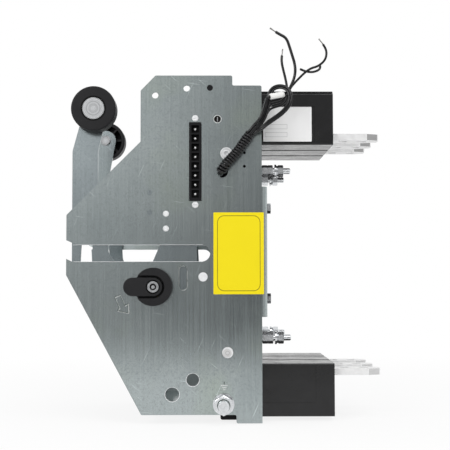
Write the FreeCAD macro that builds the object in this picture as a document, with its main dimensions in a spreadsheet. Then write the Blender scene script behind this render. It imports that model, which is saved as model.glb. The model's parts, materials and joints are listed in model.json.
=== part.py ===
import FreeCAD, Part
import Sketcher

import math
import os
from types import SimpleNamespace

V = FreeCAD.Vector

# Draw-out cradle of a moulded case circuit breaker.
# X runs from the operator to the control panel, Y away from the wired side plate, Z up.
# X in the list below is measured from the rear faces of the side plates' flanges. The finished
# pieces are moved by panel_gap, so that the origin is the centre of the four rear studs in the
# plane where their inner nuts meet the control panel.

LENGTHS = [
    ("panel_gap", 7.0, "rear flange face to the face of the control panel"),
    # side plates, bent from zinc plated sheet
    ("plate_y", 83.0, "outer face of each side plate"),
    ("sheet", 2.5, "sheet thickness"),
    ("front_x", -181.0, "front edge at the side slot"),
    ("upper_front_x", -114.6, "front edge of the upper part"),
    ("rear_x", -5.0, "rear edge beside the flange"),
    ("top_z", 161.2, "top edge"),
    ("top_cut_x", -101.2, "end of the cut top corner"),
    ("top_cut_z", 147.4, "start of the cut top corner"),
    ("step_x", -31.5, "step in the top edge"),
    ("step_z", 152.1, "top edge behind the step"),
    ("slope_top_z", 100.9, "upper end of the front slope"),
    ("slope_low_z", 34.5, "lower end of the front slope"),
    ("slot_half", 7.4, "half height of the side slot"),
    ("slot_end_x", -51.7, "closed end of the side slot"),
    ("slot_mouth", 5.0, "length of the slot's shaped mouth"),
    ("mouth_top_z", 11.7, "upper edge of the mouth"),
    ("mouth_low_z", -5.0, "raised lip of the mouth"),
    ("lower_slope_z", -19.6, "upper end of the lower slope"),
    ("bottom_front_x", -113.3, "front end of the bottom edge"),
    ("bottom_z", -144.4, "bottom edge"),
    ("foot_x", -28.2, "front edge of the rear foot"),
    ("foot_z", -151.9, "end of the rear foot"),
    ("corner_round", 1.5, "rounding of the outer corners"),
    ("flange_top_z", 60.2, "top of the rear flange"),
    ("flange_low_z", -57.4, "bottom of the rear flange"),
    ("flange_depth", 22.0, "width of the rear flange"),
    ("bend_radius", 5.0, "outer radius of the flange's bend"),
    ("oval_x", -75.8, "inspection slot"),
    ("oval_z", -21.8, "inspection slot"),
    ("oval_width", 7.8, "inspection slot"),
    ("oval_height", 21.0, "inspection slot"),
    # sheets between the side plates
    ("top_hole_front_x", -101.4, "front hole under a side plate's top edge"),
    ("top_hole_front_z", 143.1, "height of that hole"),
    ("top_hole_rear_x", -72.9, "rear hole under a side plate's top edge"),
    ("top_hole_rear_z", 149.5, "height of that hole"),
    ("top_hole_radius", 2.9, "holes under the top edge"),
    ("pilot_x", -20.7, "two small screw holes beside the cable hole"),
    ("pilot_high_z", 90.8, "upper small screw hole"),
    ("pilot_low_z", 78.5, "lower small screw hole"),
    ("pilot_radius", 1.3, "small screw holes"),
    ("spare_hole_x", -67.3, "open hole below the lock"),
    ("spare_hole_z", -113.2, "height of that hole"),
    ("spare_hole_radius", 5.65, "open hole below the lock"),
    ("foot_hole_x", -85.6, "open hole above the foot"),
    ("foot_hole_z", -126.2, "height of that hole"),
    ("foot_hole_radius", 6.25, "open hole above the foot"),
    ("cross_half_z", 56.0, "half height of the rear cross plate"),
    ("cross_lip", 8.0, "stiffening lips of the cross plate"),
    ("cross_bolt_y", 70.0, "flange bolts"),
    ("cross_bolt_z", 41.0, "flange bolts"),
    ("collar_radius", 4.5, "drawn collars that take the flange bolts"),
    ("collar_depth", 4.0, "drawn collars that take the flange bolts"),
    ("floor_top_z", -141.5, "upper face of the bottom sheet"),
    ("floor_front_x", -110.0, "front edge of the bottom sheet"),
    ("floor_rear_x", -50.0, "rear edge of the bottom sheet"),
    ("floor_tab", 10.0, "height of the bottom sheet's turned up tabs"),
    ("tab_length", 12.0, "length of the bottom sheet's tabs"),
    ("seat_gap", 0.05, "clearance of parts that are fixed in a hole"),
    ("run_gap", 0.05, "radial clearance of parts that turn in a hole"),
    ("side_gap", 0.3, "clearance beside parts that turn"),
    # contact bases and terminals
    ("pole_pitch", 44.0, "spacing of the three poles"),
    ("base_front_x", -42.5, "front face of the contact bases"),
    ("base_rear_x", -6.0, "rear face of the contact bases"),
    ("base_y", 70.0, "half width of the contact bases"),
    ("base_low_z", 66.0, "inner edge of the contact bases"),
    ("base_high_z", 150.8, "outer edge of the contact bases"),
    ("base_round", 2.0, "rounding of the contact bases"),
    ("jaw_pocket_width", 34.0, "pocket of one jaw"),
    ("jaw_pocket_height", 34.0, "pocket of one jaw"),
    ("jaw_pocket_floor_x", -12.0, "floor of the jaw pockets"),
    ("barrier_slot", 4.0, "slot between two poles"),
    ("barrier_depth", 14.0, "depth of the slot between two poles"),
    ("housing_rear_x", 62.0, "rear face of the terminal housings"),
    ("housing_gap", 4.0, "gap between two terminal housings"),
    ("housing_low_z", 100.5, "inner face of a terminal housing"),
    ("housing_high_z", 148.7, "outer face of a terminal housing"),
    ("housing_wall", 2.5, "wall of a terminal housing"),
    ("housing_round", 1.5, "rounding of a terminal housing"),
    ("panel_recess", 0.6, "depth of the label recess"),
    ("panel_front_x", -3.0, "front edge of the label recess"),
    ("panel_rear_x", 45.0, "rear edge of the label recess"),
    ("panel_low_z", 103.2, "inner edge of the label recess"),
    ("panel_high_z", 136.2, "outer edge of the label recess"),
    ("bar_z", 109.0, "height of the terminal bars"),
    ("bar_thickness", 6.0, "thickness of the terminal bars"),
    ("bar_width", 22.0, "width of the terminal bars"),
    ("bar_front_x", -24.0, "front end of the terminal bars"),
    ("bar_tip_x", 106.0, "rear end of the terminal bars"),
    ("bar_taper", 12.0, "length of the bar's cut corners"),
    ("bar_tip_width", 12.0, "width of the bar's tip"),
    ("bar_slot_gap", 0.3, "clearance of the bar in the mouldings"),
    ("bar_hole_radius", 4.5, "cable holes"),
    ("bar_hole_x", 91.0, "outer cable hole"),
    ("bar_hole_pitch", 18.0, "spacing of the cable holes"),
    ("finger_thickness", 4.0, "contact fingers"),
    ("finger_width", 20.0, "contact fingers"),
    ("finger_tip_x", -41.0, "front end of the contact fingers"),
    ("finger_touch_x", -34.0, "where the fingers grip the breaker's blade"),
    ("finger_bend_x", -23.0, "start of the fingers' bend"),
    ("finger_root_x", -12.5, "rear end of the contact fingers"),
    ("grip_gap", 5.0, "opening between two fingers at rest"),
    ("finger_flare", 3.0, "rise of the fingers at the mouth"),
    ("spring_strip", 0.8, "thickness of the jaw springs"),
    ("spring_width", 12.0, "width of the jaw springs"),
    # rear studs
    ("stud_y", 44.0, "stud pattern"),
    ("stud_z", 78.0, "stud pattern"),
    ("stud_radius", 3.0, "bare band that takes the control panel"),
    ("thread_radius", 2.8, "threaded stretches"),
    ("stud_front_x", -30.0, "embedded end of the studs"),
    ("stud_tip_x", 23.5, "free end of the studs"),
    ("stud_band", 1.6, "length of the bare band"),
    ("nut_flats", 10.0, "small nuts"),
    ("nut_height", 5.0, "small nuts"),
    ("washer_radius", 6.2, "flat washers"),
    ("washer_height", 1.6, "flat washers"),
    ("spring_washer_radius", 5.1, "spring washers"),
    ("bolt_flats", 8.0, "flange bolts"),
    ("bolt_head", 3.5, "flange bolts"),
    ("bolt_radius", 2.5, "flange bolts"),
    # fixings of the contact bases
    ("side_screw_x", -37.0, "upper side screws"),
    ("side_screw_z", 90.0, "upper side screws"),
    ("side_screw_head_radius", 5.5, "upper side screws"),
    ("side_screw_head", 1.8, "upper side screws"),
    ("side_screw_thread", 2.45, "upper side screws"),
    ("side_screw_depth", 7.0, "thread length in the moulding"),
    ("side_boss_x", -36.0, "lower side bosses"),
    ("side_boss_z", -89.0, "lower side bosses"),
    ("boss_radius", 5.0, "spacer sleeves between plate and moulding"),
    ("boss_bore", 2.6, "bore in the moulding that takes a lower boss's pin"),
    ("boss_stand", 1.5, "how far the lower bosses stand out"),
    ("boss_groove", 0.5, "depth of the ring groove in the lower bosses"),
    # earth bolt
    ("earth_x", -39.7, "earth bolt"),
    ("earth_z", -134.9, "earth bolt"),
    ("earth_radius", 5.0, "free end of the earth bolt"),
    ("earth_thread_radius", 4.8, "stretch under the washers and the nut"),
    ("earth_flats", 16.0, "earth bolt and nut"),
    ("earth_head", 6.2, "head inside the cradle"),
    ("earth_reach", 20.0, "thread outside the plate"),
    ("earth_nut_height", 8.0, "earth nut"),
    ("earth_washer_radius", 9.6, "flat washer of the earth bolt"),
    ("earth_lock_radius", 8.2, "spring washer of the earth bolt"),
    # guide blocks inside the side plates
    ("guide_front_x", -112.0, "guide blocks"),
    ("guide_rear_x", -84.0, "guide blocks"),
    ("guide_low_z", 17.0, "guide blocks"),
    ("guide_high_z", 60.0, "guide blocks"),
    ("guide_depth", 7.0, "guide blocks"),
    ("guide_lead", 4.0, "lead-in of the guide blocks"),
    ("peg_radius", 2.35, "pegs of the guide blocks"),
    ("peg_x", -106.2, "pegs of the guide blocks"),
    ("peg_low_z", 36.8, "lower peg"),
    ("peg_high_z", 54.8, "upper peg"),
    ("rivet_x", -91.5, "guide rivets"),
    ("rivet_low_z", 22.2, "lower guide rivet"),
    ("rivet_high_z", 35.6, "upper guide rivet"),
    ("rivet_shank", 2.0, "guide rivets"),
    ("rivet_head_radius", 2.7, "guide rivets"),
    ("rivet_head", 0.9, "guide rivets"),
    # side connector
    ("plug_x", -65.1, "centre line of the side connector"),
    ("plug_width", 11.2, "side connector"),
    ("plug_low_z", 47.2, "lower end of the side connector"),
    ("plug_high_z", 118.4, "upper end of the side connector"),
    ("plug_stand", 1.3, "how far the connector stands out"),
    ("plug_depth", 10.0, "connector body behind the side plate"),
    ("plug_gap", 0.2, "gap round the connector in its window"),
    ("cell_size", 6.9, "square pockets of the connector"),
    ("cell_pitch", 8.4, "spacing of the pockets"),
    ("cell_depth", 6.0, "depth of the pockets"),
    ("pin_radius", 1.1, "contact pins"),
    ("ear_width", 7.0, "connector ears"),
    ("ear_length", 8.0, "connector ears"),
    ("ear_thickness", 3.0, "connector ears"),
    ("ear_screw_offset", 3.6, "screw centre beyond the connector's end"),
    ("ear_screw_radius", 1.5, "connector screws"),
    ("ear_head_radius", 2.9, "connector screws"),
    ("ear_head", 1.6, "connector screws"),
    # position switch
    ("switch_front_x", -58.0, "position switch"),
    ("switch_rear_x", -36.5, "position switch"),
    ("switch_low_z", 113.0, "position switch"),
    ("switch_high_z", 156.0, "position switch"),
    ("switch_depth", 9.6, "position switch"),
    ("switch_screw_x", -45.0, "slotted screw"),
    ("switch_screw_z", 121.4, "slotted screw"),
    ("switch_screw_radius", 3.0, "slotted screw"),
    ("switch_peg_x", -51.8, "peg of the switch"),
    ("switch_peg_z", 150.0, "peg of the switch"),
    ("switch_peg_radius", 2.7, "peg of the switch"),
    # levers
    ("lever_thickness", 3.0, "lever plates"),
    ("pivot_x", -58.1, "lever pivot"),
    ("pivot_z", -21.3, "lever pivot"),
    ("pivot_radius", 4.1, "pivot pins"),
    ("hub_radius", 12.0, "lever round its pivot"),
    ("arm_front_x", -176.3, "front edge of the lever's arm"),
    ("arm_rear_x", -153.2, "rear edge of the lever's arm"),
    ("arm_bend_z", 92.7, "where the arm leans back"),
    ("arm_lean", 14.4, "lean of the lever's upper end, degrees"),
    ("arm_widens_z", 60.0, "where the arm has its full width"),
    ("roller_x", -155.5, "roller centre on the resting lever"),
    ("roller_z", 128.7, "roller centre on the resting lever"),
    ("head_radius", 10.5, "rounded upper end of the lever"),
    ("hook_front_x", -167.6, "front side of the cam slot"),
    ("hook_rear_x", -157.7, "rear side of the cam slot"),
    ("hook_floor_z", -15.0, "closed end of the cam slot"),
    ("hook_mouth_low_z", 15.0, "lower side of the cam slot's mouth"),
    ("hook_chin_z", 32.0, "lower end of the arm's front edge"),
    ("hook_roof_z", 20.0, "rear side of the cam slot's mouth"),
    ("hook_throat", 1.4, "widening of the cam slot at its closed end"),
    ("hook_throat_z", 10.0, "where the cam slot starts to widen"),
    ("shank_top_z", 42.0, "upper end of the hook's shank"),
    ("limb_front_x", -160.05, "front end of the limb's lower edge"),
    ("limb_front_z", -24.0, "start of the limb's slanted front edge"),
    ("prong_rear_x", -143.7, "rear edge of the hook's shank"),
    ("prong_low_z", 0.0, "start of the shank's flare"),
    ("limb_top_z", -40.0, "upper edge of the lever's limb"),
    ("limb_low_z", -54.0, "lower edge of the lever's limb"),
    ("valley_x", -112.0, "front end of the limb's straight edge"),
    ("beak_x", -104.0, "lock beak"),
    ("beak_z", -8.8, "lower face of the lock beak"),
    ("stop_front_x", -96.6, "front edge of the stop prong"),
    ("stop_rear_x", -63.6, "rear edge of the stop prong"),
    ("stop_top_z", 12.0, "top of the stop prong"),
    ("far_lever_turn", 3.1, "lead of the far lever, degrees"),
    ("lever_round", 3.0, "rounding of the lever's corners"),
    # rollers
    ("roller_radius", 20.0, "rollers"),
    ("roller_stand", 16.0, "roller face beyond the side plate"),
    ("rim_wall", 3.4, "rim of a roller"),
    ("roller_hub_radius", 8.0, "hub of a roller"),
    ("roller_web", 6.0, "closed front of a roller"),
    ("roller_ribs", 8.0, "ribs of a roller"),
    ("rib_thickness", 2.0, "ribs of a roller"),
    ("cap_radius", 10.0, "head of a roller axle"),
    ("cap_recess_radius", 11.2, "recess round the axle's head"),
    ("cap_height", 3.2, "head of a roller axle"),
    ("axle_radius", 4.0, "roller axles"),
    ("axle_rivet_radius", 5.6, "riveted end of a roller axle"),
    ("axle_rivet", 1.4, "riveted end of a roller axle"),
    # lock handle
    ("lock_x", -102.5, "lock shaft"),
    ("lock_z", -30.1, "lock shaft"),
    ("knob_radius", 17.0, "disc of the lock handle"),
    ("knob_height", 10.0, "disc of the lock handle"),
    ("grip_width", 16.4, "finger bar of the lock handle"),
    ("grip_reach", 26.3, "finger bar beyond the shaft"),
    ("grip_height", 7.6, "finger bar of the lock handle"),
    ("grip_groove", 2.0, "groove round the finger bar"),
    ("groove_floor", 3.0, "base under the finger bar"),
    ("screw_recess_radius", 6.25, "recess of the handle screw"),
    ("screw_recess", 4.6, "recess of the handle screw"),
    ("lock_screw_radius", 5.0, "head of the handle screw"),
    ("lock_screw_head", 3.4, "head of the handle screw"),
    ("lock_socket_flats", 4.0, "socket of the handle screw"),
    ("lock_thread_radius", 2.0, "thread of the handle screw"),
    ("lock_shaft_radius", 5.0, "lock shaft"),
    ("half_moon_cut", 1.2, "flat of the shaft beyond its axis"),
    # wires
    ("wire_hole_x", -41.0, "wire outlet"),
    ("wire_hole_z", 73.7, "wire outlet"),
    ("wire_hole_radius", 5.5, "wire outlet"),
    ("wire_radius", 1.3, "single wires"),
    ("bundle_radius", 2.9, "bundle of wires"),
    ("wrap_radius", 5.1, "bundle with its winding"),
    ("sleeve_radius", 2.55, "white sleeve"),
    ("sleeve_length", 14.4, "white sleeve"),
    ("sleeve_gap", 0.35, "clearance of the wire in its sleeve"),
]

doc = FreeCAD.newDocument("BreakerCradle")
sheet = doc.addObject("Spreadsheet::Sheet", "Sizes")
for row, (alias, value, note) in enumerate(LENGTHS, start=1):
    sheet.set("A%d" % row, alias)
    sheet.set("B%d" % row, "%g" % value)
    sheet.set("C%d" % row, note)
    sheet.setAlias("B%d" % row, alias)
doc.recompute()


class Size:
    """A length: its number, and the formula that ties it to the sheet."""

    def __init__(self, number, formula):
        self.number = number
        self.formula = formula

    def __add__(self, other):
        other = size(other)
        return Size(self.number + other.number, "(%s + %s)" % (self.formula, other.formula))

    def __sub__(self, other):
        other = size(other)
        return Size(self.number - other.number, "(%s - %s)" % (self.formula, other.formula))

    def __mul__(self, factor):
        factor = size(factor)
        return Size(self.number * factor.number, "(%s * %s)" % (self.formula, factor.formula))

    def __truediv__(self, factor):
        factor = size(factor)
        return Size(self.number / factor.number, "(%s / %s)" % (self.formula, factor.formula))

    def __neg__(self):
        return self * -1

    __radd__ = __add__
    __rmul__ = __mul__

    def __rsub__(self, other):
        return size(other) - self


def size(value):
    """A plain number counts as a size without a cell."""
    return value if isinstance(value, Size) else Size(value, "%.6g" % value)


d = SimpleNamespace(**{alias: Size(value, "Sizes." + alias) for alias, value, _ in LENGTHS})
plate_inner_y = d.plate_y - d.sheet
housing_width = d.pole_pitch - d.housing_gap
POLES = [("near", -1), ("middle", 0), ("far", 1)]
SIDES = [("near", -1), ("far", 1)]
LEVELS = [("upper", 1), ("lower", -1)]
nodes = []


# Drawing tools


def bind(thing, **cells):
    """Tie properties of an object to sizes."""
    for name, value in cells.items():
        thing.setExpression(name, size(value).formula)


def put(thing, x=0, y=0, z=0):
    """Tie an object's position to sizes."""
    for axis, value in zip("xyz", (x, y, z)):
        thing.setExpression(".Placement.Base." + axis, size(value).formula)


def node(thing, label):
    """Register a finished piece, moved so that the origin lies in the panel's plane."""
    thing.Label = label
    thing.setExpression(".Placement.Base.x", (-d.panel_gap).formula)
    nodes.append(thing)
    return thing


def group(label, pieces):
    """Several separate solids of one kind in one node."""
    both = doc.addObject("Part::Compound", label + "_group")
    both.Links = pieces
    return node(both, label)


def box(name, x, y, z):
    """A block between two limits along each axis."""
    block = doc.addObject("Part::Box", name)
    bind(block, Length=x[1] - x[0], Width=y[1] - y[0], Height=z[1] - z[0])
    put(block, x[0], y[0], z[0])
    return block


AXIS_TURN = {
    "x": FreeCAD.Rotation(V(0, 1, 0), 90),
    "y": FreeCAD.Rotation(V(1, 0, 0), -90),
    "z": FreeCAD.Rotation(),
}


def along(thing, axis, low, across):
    """Stand an object that grows along Z on the given axis, from low on."""
    thing.Placement.Rotation = AXIS_TURN[axis]
    first, second = across
    places = {"x": (low, first, second), "y": (first, low, second), "z": (first, second, low)}
    put(thing, *places[axis])


def rod(name, axis, radius, low, high, across):
    """A cylinder along an axis, centred on the two other coordinates."""
    cylinder = doc.addObject("Part::Cylinder", name)
    bind(cylinder, Radius=radius, Height=size(high) - low)
    along(cylinder, axis, low, across)
    return cylinder


def cone(name, axis, radius_low, radius_high, low, high, across):
    """A cone along an axis."""
    taper = doc.addObject("Part::Cone", name)
    bind(taper, Radius1=radius_low, Radius2=radius_high, Height=size(high) - low)
    along(taper, axis, low, across)
    return taper


def hexagon(name, axis, flats, low, high, across):
    """A six-sided bar along an axis, sized across its flats."""
    prism = doc.addObject("Part::Prism", name)
    prism.Polygon = 6
    bind(prism, Height=size(high) - low)
    prism.setExpression("Circumradius", "%s / sqrt(3)" % size(flats).formula)
    along(prism, axis, low, across)
    return prism


def cut(name, base, *tools):
    """The base without the tools."""
    result = doc.addObject("Part::Cut", name)
    result.Base = base
    result.Tool = tools[0] if len(tools) == 1 else fuse(name + "_tools", *tools)
    return result


def fuse(name, *pieces):
    """One solid from several."""
    result = doc.addObject("Part::MultiFuse", name)
    result.Shapes = list(pieces)
    result.Refine = True
    return result


def body(name):
    """An empty body of the part design workbench."""
    return doc.addObject("PartDesign::Body", name)


# Each sketch plane: its name, the sign of its normal, the axes that it shows and the one it faces
PLANES = {
    "xy": ("XY_Plane", 1, (0, 1), 2),
    "xz": ("XZ_Plane", -1, (0, 2), 1),
    "yz": ("YZ_Plane", 1, (1, 2), 0),
}


def sketch_on(owner, plane, level):
    """An empty sketch on a plane of the body, at the given level along the plane's normal."""
    role, sign, _, _ = PLANES[plane]
    sketch = owner.newObject("Sketcher::SketchObject", "Sketch")
    sketch.AttachmentSupport = [
        (item, "") for item in owner.Origin.OriginFeatures if item.Role == role
    ]
    sketch.MapMode = "FlatFace"
    sketch.setExpression(".AttachmentOffset.Base.z", (size(level) * sign).formula)
    return sketch


def fix_point(sketch, rules, geometry, end, point):
    """Note the two constraints that hold a point, for fix_all."""
    for kind, value in zip(("DistanceX", "DistanceY"), point):
        rules.append((kind, geometry, end, size(value)))


def fix_all(sketch, rules):
    """Add the noted constraints and tie each one to the sheet."""
    first = sketch.ConstraintCount
    constraints = []
    for kind, geometry, end, value in rules:
        if kind == "Radius":
            constraints.append(Sketcher.Constraint(kind, geometry, value.number))
        else:
            constraints.append(Sketcher.Constraint(kind, -1, 1, geometry, end, value.number))
    sketch.addConstraint(constraints)
    for index, (_, _, _, value) in enumerate(rules, start=first):
        sketch.setExpression("Constraints[%d]" % index, value.formula)


def draw_outline(sketch, points):
    """A closed outline of straight edges through the points."""
    flat = [V(size(a).number, size(b).number, 0) for a, b in points]
    first = sketch.GeometryCount
    edges = [Part.LineSegment(flat[i], flat[(i + 1) % len(flat)]) for i in range(len(flat))]
    sketch.addGeometry(edges, False)
    count = len(flat)
    sketch.addConstraint(
        [
            Sketcher.Constraint("Coincident", first + i, 2, first + (i + 1) % count, 1)
            for i in range(count)
        ]
    )
    rules = []
    for i, point in enumerate(points):
        fix_point(sketch, rules, first + i, 1, point)
    fix_all(sketch, rules)


def draw_circles(sketch, circles):
    """Circles, each given by its centre and radius."""
    rules = []
    for across, up, radius in circles:
        index = sketch.addGeometry(
            Part.Circle(V(size(across).number, size(up).number, 0), V(0, 0, 1), size(radius).number),
            False,
        )
        fix_point(sketch, rules, index, 3, (across, up))
        rules.append(("Radius", index, 0, size(radius)))
    fix_all(sketch, rules)


def volume_of(owner):
    """Volume of the body so far."""
    doc.recompute()
    return owner.Shape.Volume


def slab(owner, plane, low, high, outlines=(), circles=()):
    """Add material between two levels inside the outlines."""
    start = high if plane == "xz" else low
    sketch = sketch_on(owner, plane, start)
    for points in outlines:
        draw_outline(sketch, points)
    draw_circles(sketch, circles)
    pad = owner.newObject("PartDesign::Pad", "Pad")
    pad.Profile = sketch
    bind(pad, Length=size(high) - low)
    return pad


def recess(owner, plane, low, high, outlines=(), circles=()):
    """Take material away between two levels inside the outlines."""
    before = volume_of(owner)
    start = low if plane == "xz" else high
    sketch = sketch_on(owner, plane, start)
    for points in outlines:
        draw_outline(sketch, points)
    draw_circles(sketch, circles)
    pocket = owner.newObject("PartDesign::Pocket", "Pocket")
    pocket.Profile = sketch
    bind(pocket, Length=size(high) - low)
    if volume_of(owner) >= before:
        raise RuntimeError("a recess in %s cuts nothing" % owner.Name)
    return pocket


def edges_at(owner, plane, corners):
    """Names of the straight edges along the plane's normal that stand on the corners."""
    doc.recompute()
    shown = PLANES[plane][2]
    spots = [(size(a).number, size(b).number) for a, b in corners]
    names = []
    for index, edge in enumerate(owner.Tip.Shape.Edges, start=1):
        ends = [tuple(v.Point[axis] for axis in shown) for v in edge.Vertexes]
        for spot in spots:
            if len(ends) == 2 and all(math.dist(end, spot) < 0.001 for end in ends):
                names.append("Edge%d" % index)
    if len(names) < len(corners):
        raise RuntimeError("%s lacks an edge to round" % owner.Name)
    return names


def round_edges(owner, plane, corners, radius):
    """Round the edges that stand on the corners of an outline."""
    names = edges_at(owner, plane, corners)
    fillet = owner.newObject("PartDesign::Fillet", "Fillet")
    fillet.Base = (owner.Tip if owner.Tip is not fillet else owner.Group[-2], names)
    bind(fillet, Radius=radius)
    owner.Tip = fillet
    return fillet


def rectangle(across, up):
    """The four corners between two limits each way."""
    return [(across[0], up[0]), (across[1], up[0]), (across[1], up[1]), (across[0], up[1])]


def centred(middle, width):
    """Limits of a width about its middle."""
    return (size(middle) - size(width) / 2, size(middle) + size(width) / 2)


def signed(side, low, high):
    """Limits on the positive or the negative side, in rising order."""
    return (size(low), size(high)) if side > 0 else (-size(high), -size(low))


# Side plates


def plate_outline():
    """A side plate seen from the side, with the open side slot and the rear foot."""
    mouth_x = d.front_x + d.slot_mouth
    return [
        (d.upper_front_x, d.slope_top_z),
        (d.upper_front_x, d.top_cut_z),
        (d.top_cut_x, d.top_z),
        (d.step_x, d.top_z),
        (d.step_x, d.step_z),
        (d.rear_x, d.step_z),
        (d.rear_x, d.foot_z),
        (d.foot_x, d.foot_z),
        (d.foot_x, d.bottom_z),
        (d.bottom_front_x, d.bottom_z),
        (d.front_x, d.lower_slope_z),
        (d.front_x, d.mouth_low_z),
        (mouth_x, -d.slot_half),
        (d.slot_end_x, -d.slot_half),
        (d.slot_end_x, d.slot_half),
        (mouth_x + d.slot_mouth, d.slot_half),
        (d.front_x, d.mouth_top_z),
        (d.front_x, d.slope_low_z),
    ]


def stadium(middle_x, middle_z, width, height):
    """Corners of an upright slot, rounded afterwards."""
    return rectangle(centred(middle_x, width), centred(middle_z, height))


def side_plate(place, side):
    """Zinc plated plate with a flange that is bent inwards at the rear."""
    plate = body("side_plate_" + place)
    low, high = signed(side, plate_inner_y, d.plate_y)
    outline = plate_outline()
    slab(plate, "xz", low, high, [outline])
    flange_reach = d.plate_y - d.flange_depth
    flange_start = d.rear_x - d.corner_round
    angle = [
        (flange_start, side * d.plate_y),
        (size(0), side * d.plate_y),
        (size(0), side * flange_reach),
        (-d.sheet, side * flange_reach),
        (-d.sheet, side * plate_inner_y),
        (flange_start, side * plate_inner_y),
    ]
    slab(plate, "xy", d.flange_low_z, d.flange_top_z, [angle])
    round_edges(plate, "xy", [angle[1]], d.bend_radius)
    round_edges(plate, "xy", [angle[4]], d.bend_radius - d.sheet)
    oval = stadium(d.oval_x, d.oval_z, d.oval_width, d.oval_height)
    openings = [oval]
    pin_hole = d.peg_radius + d.seat_gap
    rivet_hole = d.rivet_shank + d.seat_gap
    circles = [
        (d.top_hole_front_x, d.top_hole_front_z, d.top_hole_radius),
        (d.top_hole_rear_x, d.top_hole_rear_z, d.top_hole_radius),
        (d.pilot_x, d.pilot_high_z, d.pilot_radius),
        (d.pilot_x, d.pilot_low_z, d.pilot_radius),
        (d.spare_hole_x, d.spare_hole_z, d.spare_hole_radius),
        (d.foot_hole_x, d.foot_hole_z, d.foot_hole_radius),
        (d.peg_x, d.peg_low_z, pin_hole),
        (d.peg_x, d.peg_high_z, pin_hole),
        (d.rivet_x, d.rivet_low_z, rivet_hole),
        (d.rivet_x, d.rivet_high_z, rivet_hole),
        (d.pivot_x, d.pivot_z, d.pivot_radius + d.seat_gap),
        (d.side_screw_x, d.side_screw_z, d.boss_radius + d.seat_gap),
        (d.side_boss_x, d.side_boss_z, d.boss_radius + d.seat_gap),
    ]
    if side < 0:
        gap = d.plug_gap
        openings.append(
            rectangle(
                centred(d.plug_x, d.plug_width + gap * 2),
                (d.plug_low_z - gap, d.plug_high_z + gap),
            )
        )
        screw_hole = d.ear_screw_radius + d.plug_gap
        circles += [
            (d.plug_x, d.plug_high_z + d.ear_screw_offset, screw_hole),
            (d.plug_x, d.plug_low_z - d.ear_screw_offset, screw_hole),
            (d.switch_screw_x, d.switch_screw_z, d.switch_screw_radius + d.seat_gap),
            (d.switch_peg_x, d.switch_peg_z, d.switch_peg_radius + d.seat_gap),
            (d.wire_hole_x, d.wire_hole_z, d.wire_hole_radius),
            (d.lock_x, d.lock_z, d.lock_shaft_radius + d.run_gap),
            (d.earth_x, d.earth_z, d.earth_thread_radius + d.seat_gap),
        ]
    recess(plate, "xz", low - 1, high, openings, circles)
    round_edges(plate, "xz", oval, d.oval_width * 0.49)
    round_edges(plate, "xz", outline[13:15], d.slot_half * 0.99)
    corners = [outline[i] for i in (0, 1, 2, 3, 4, 5, 7, 8, 9, 10, 12, 15, 17)]
    round_edges(plate, "xz", corners, d.corner_round)
    bolt_y = side * d.cross_bolt_y
    bolt_hole = d.bolt_radius + d.seat_gap
    bolt_places = [(bolt_y, d.cross_bolt_z, bolt_hole), (bolt_y, -d.cross_bolt_z, bolt_hole)]
    recess(plate, "yz", -d.sheet - 1, 0, circles=bolt_places)
    node(plate, "side_plate_" + place)


# Sheets that tie the side plates


def rear_cross_plate():
    """Sheet behind the breaker, screwed to both flanges, with lips and drawn collars."""
    plate = body("rear_cross_plate")
    rear = -d.sheet
    front = rear - d.sheet
    half_y = plate_inner_y - d.bend_radius + d.sheet
    face = rectangle((-half_y, half_y), (-d.cross_half_z, d.cross_half_z))
    slab(plate, "yz", front, rear, [face])
    lip_y = d.base_y - d.collar_radius * 2
    for side in (1, -1):
        edge = signed(side, d.cross_half_z - d.sheet, d.cross_half_z)
        slab(plate, "yz", front - d.cross_lip, rear, [rectangle((-lip_y, lip_y), edge)])
    places = [
        (y * d.cross_bolt_y, z * d.cross_bolt_z, d.collar_radius) for y in (-1, 1) for z in (-1, 1)
    ]
    slab(plate, "yz", front - d.collar_depth, rear, circles=places)
    bores = [(y, z, d.bolt_radius + d.seat_gap) for y, z, _ in places]
    recess(plate, "yz", front - d.collar_depth - 1, rear, circles=bores)
    round_edges(plate, "yz", face, d.corner_round)
    node(plate, "rear_cross_plate")


def bottom_plate():
    """Bottom sheet with a stiffened front lip and a tab up each side plate."""
    plate = body("bottom_plate")
    low = d.floor_top_z - d.sheet
    face = rectangle((d.floor_front_x, d.floor_rear_x), (-plate_inner_y, plate_inner_y))
    slab(plate, "xy", low, d.floor_top_z, [face])
    lip = (d.floor_front_x, d.floor_front_x + d.sheet)
    lip_y = plate_inner_y - d.tab_length
    slab(plate, "xy", low, d.floor_top_z + d.floor_tab, [rectangle(lip, (-lip_y, lip_y))])
    tab_x = (d.floor_rear_x - d.tab_length, d.floor_rear_x)
    tabs = [rectangle(tab_x, signed(s, plate_inner_y - d.sheet, plate_inner_y)) for s in (-1, 1)]
    slab(plate, "xy", low, d.floor_top_z + d.floor_tab, tabs)
    node(plate, "bottom_plate")


def flange_bolts():
    """Hexagon bolts through the flanges into the collars of the cross plate."""
    bolts = []
    shank_low = -d.sheet * 2 - d.collar_depth
    for y in (-1, 1):
        for z in (-1, 1):
            across = (y * d.cross_bolt_y, z * d.cross_bolt_z)
            head = hexagon("bolt_head", "x", d.bolt_flats, 0, d.bolt_head, across)
            shank = rod("bolt_shank", "x", d.bolt_radius, shank_low, 0, across)
            bolts.append(fuse("flange_bolt", head, shank))
    group("flange_bolts", bolts)


# Guide blocks


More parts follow.
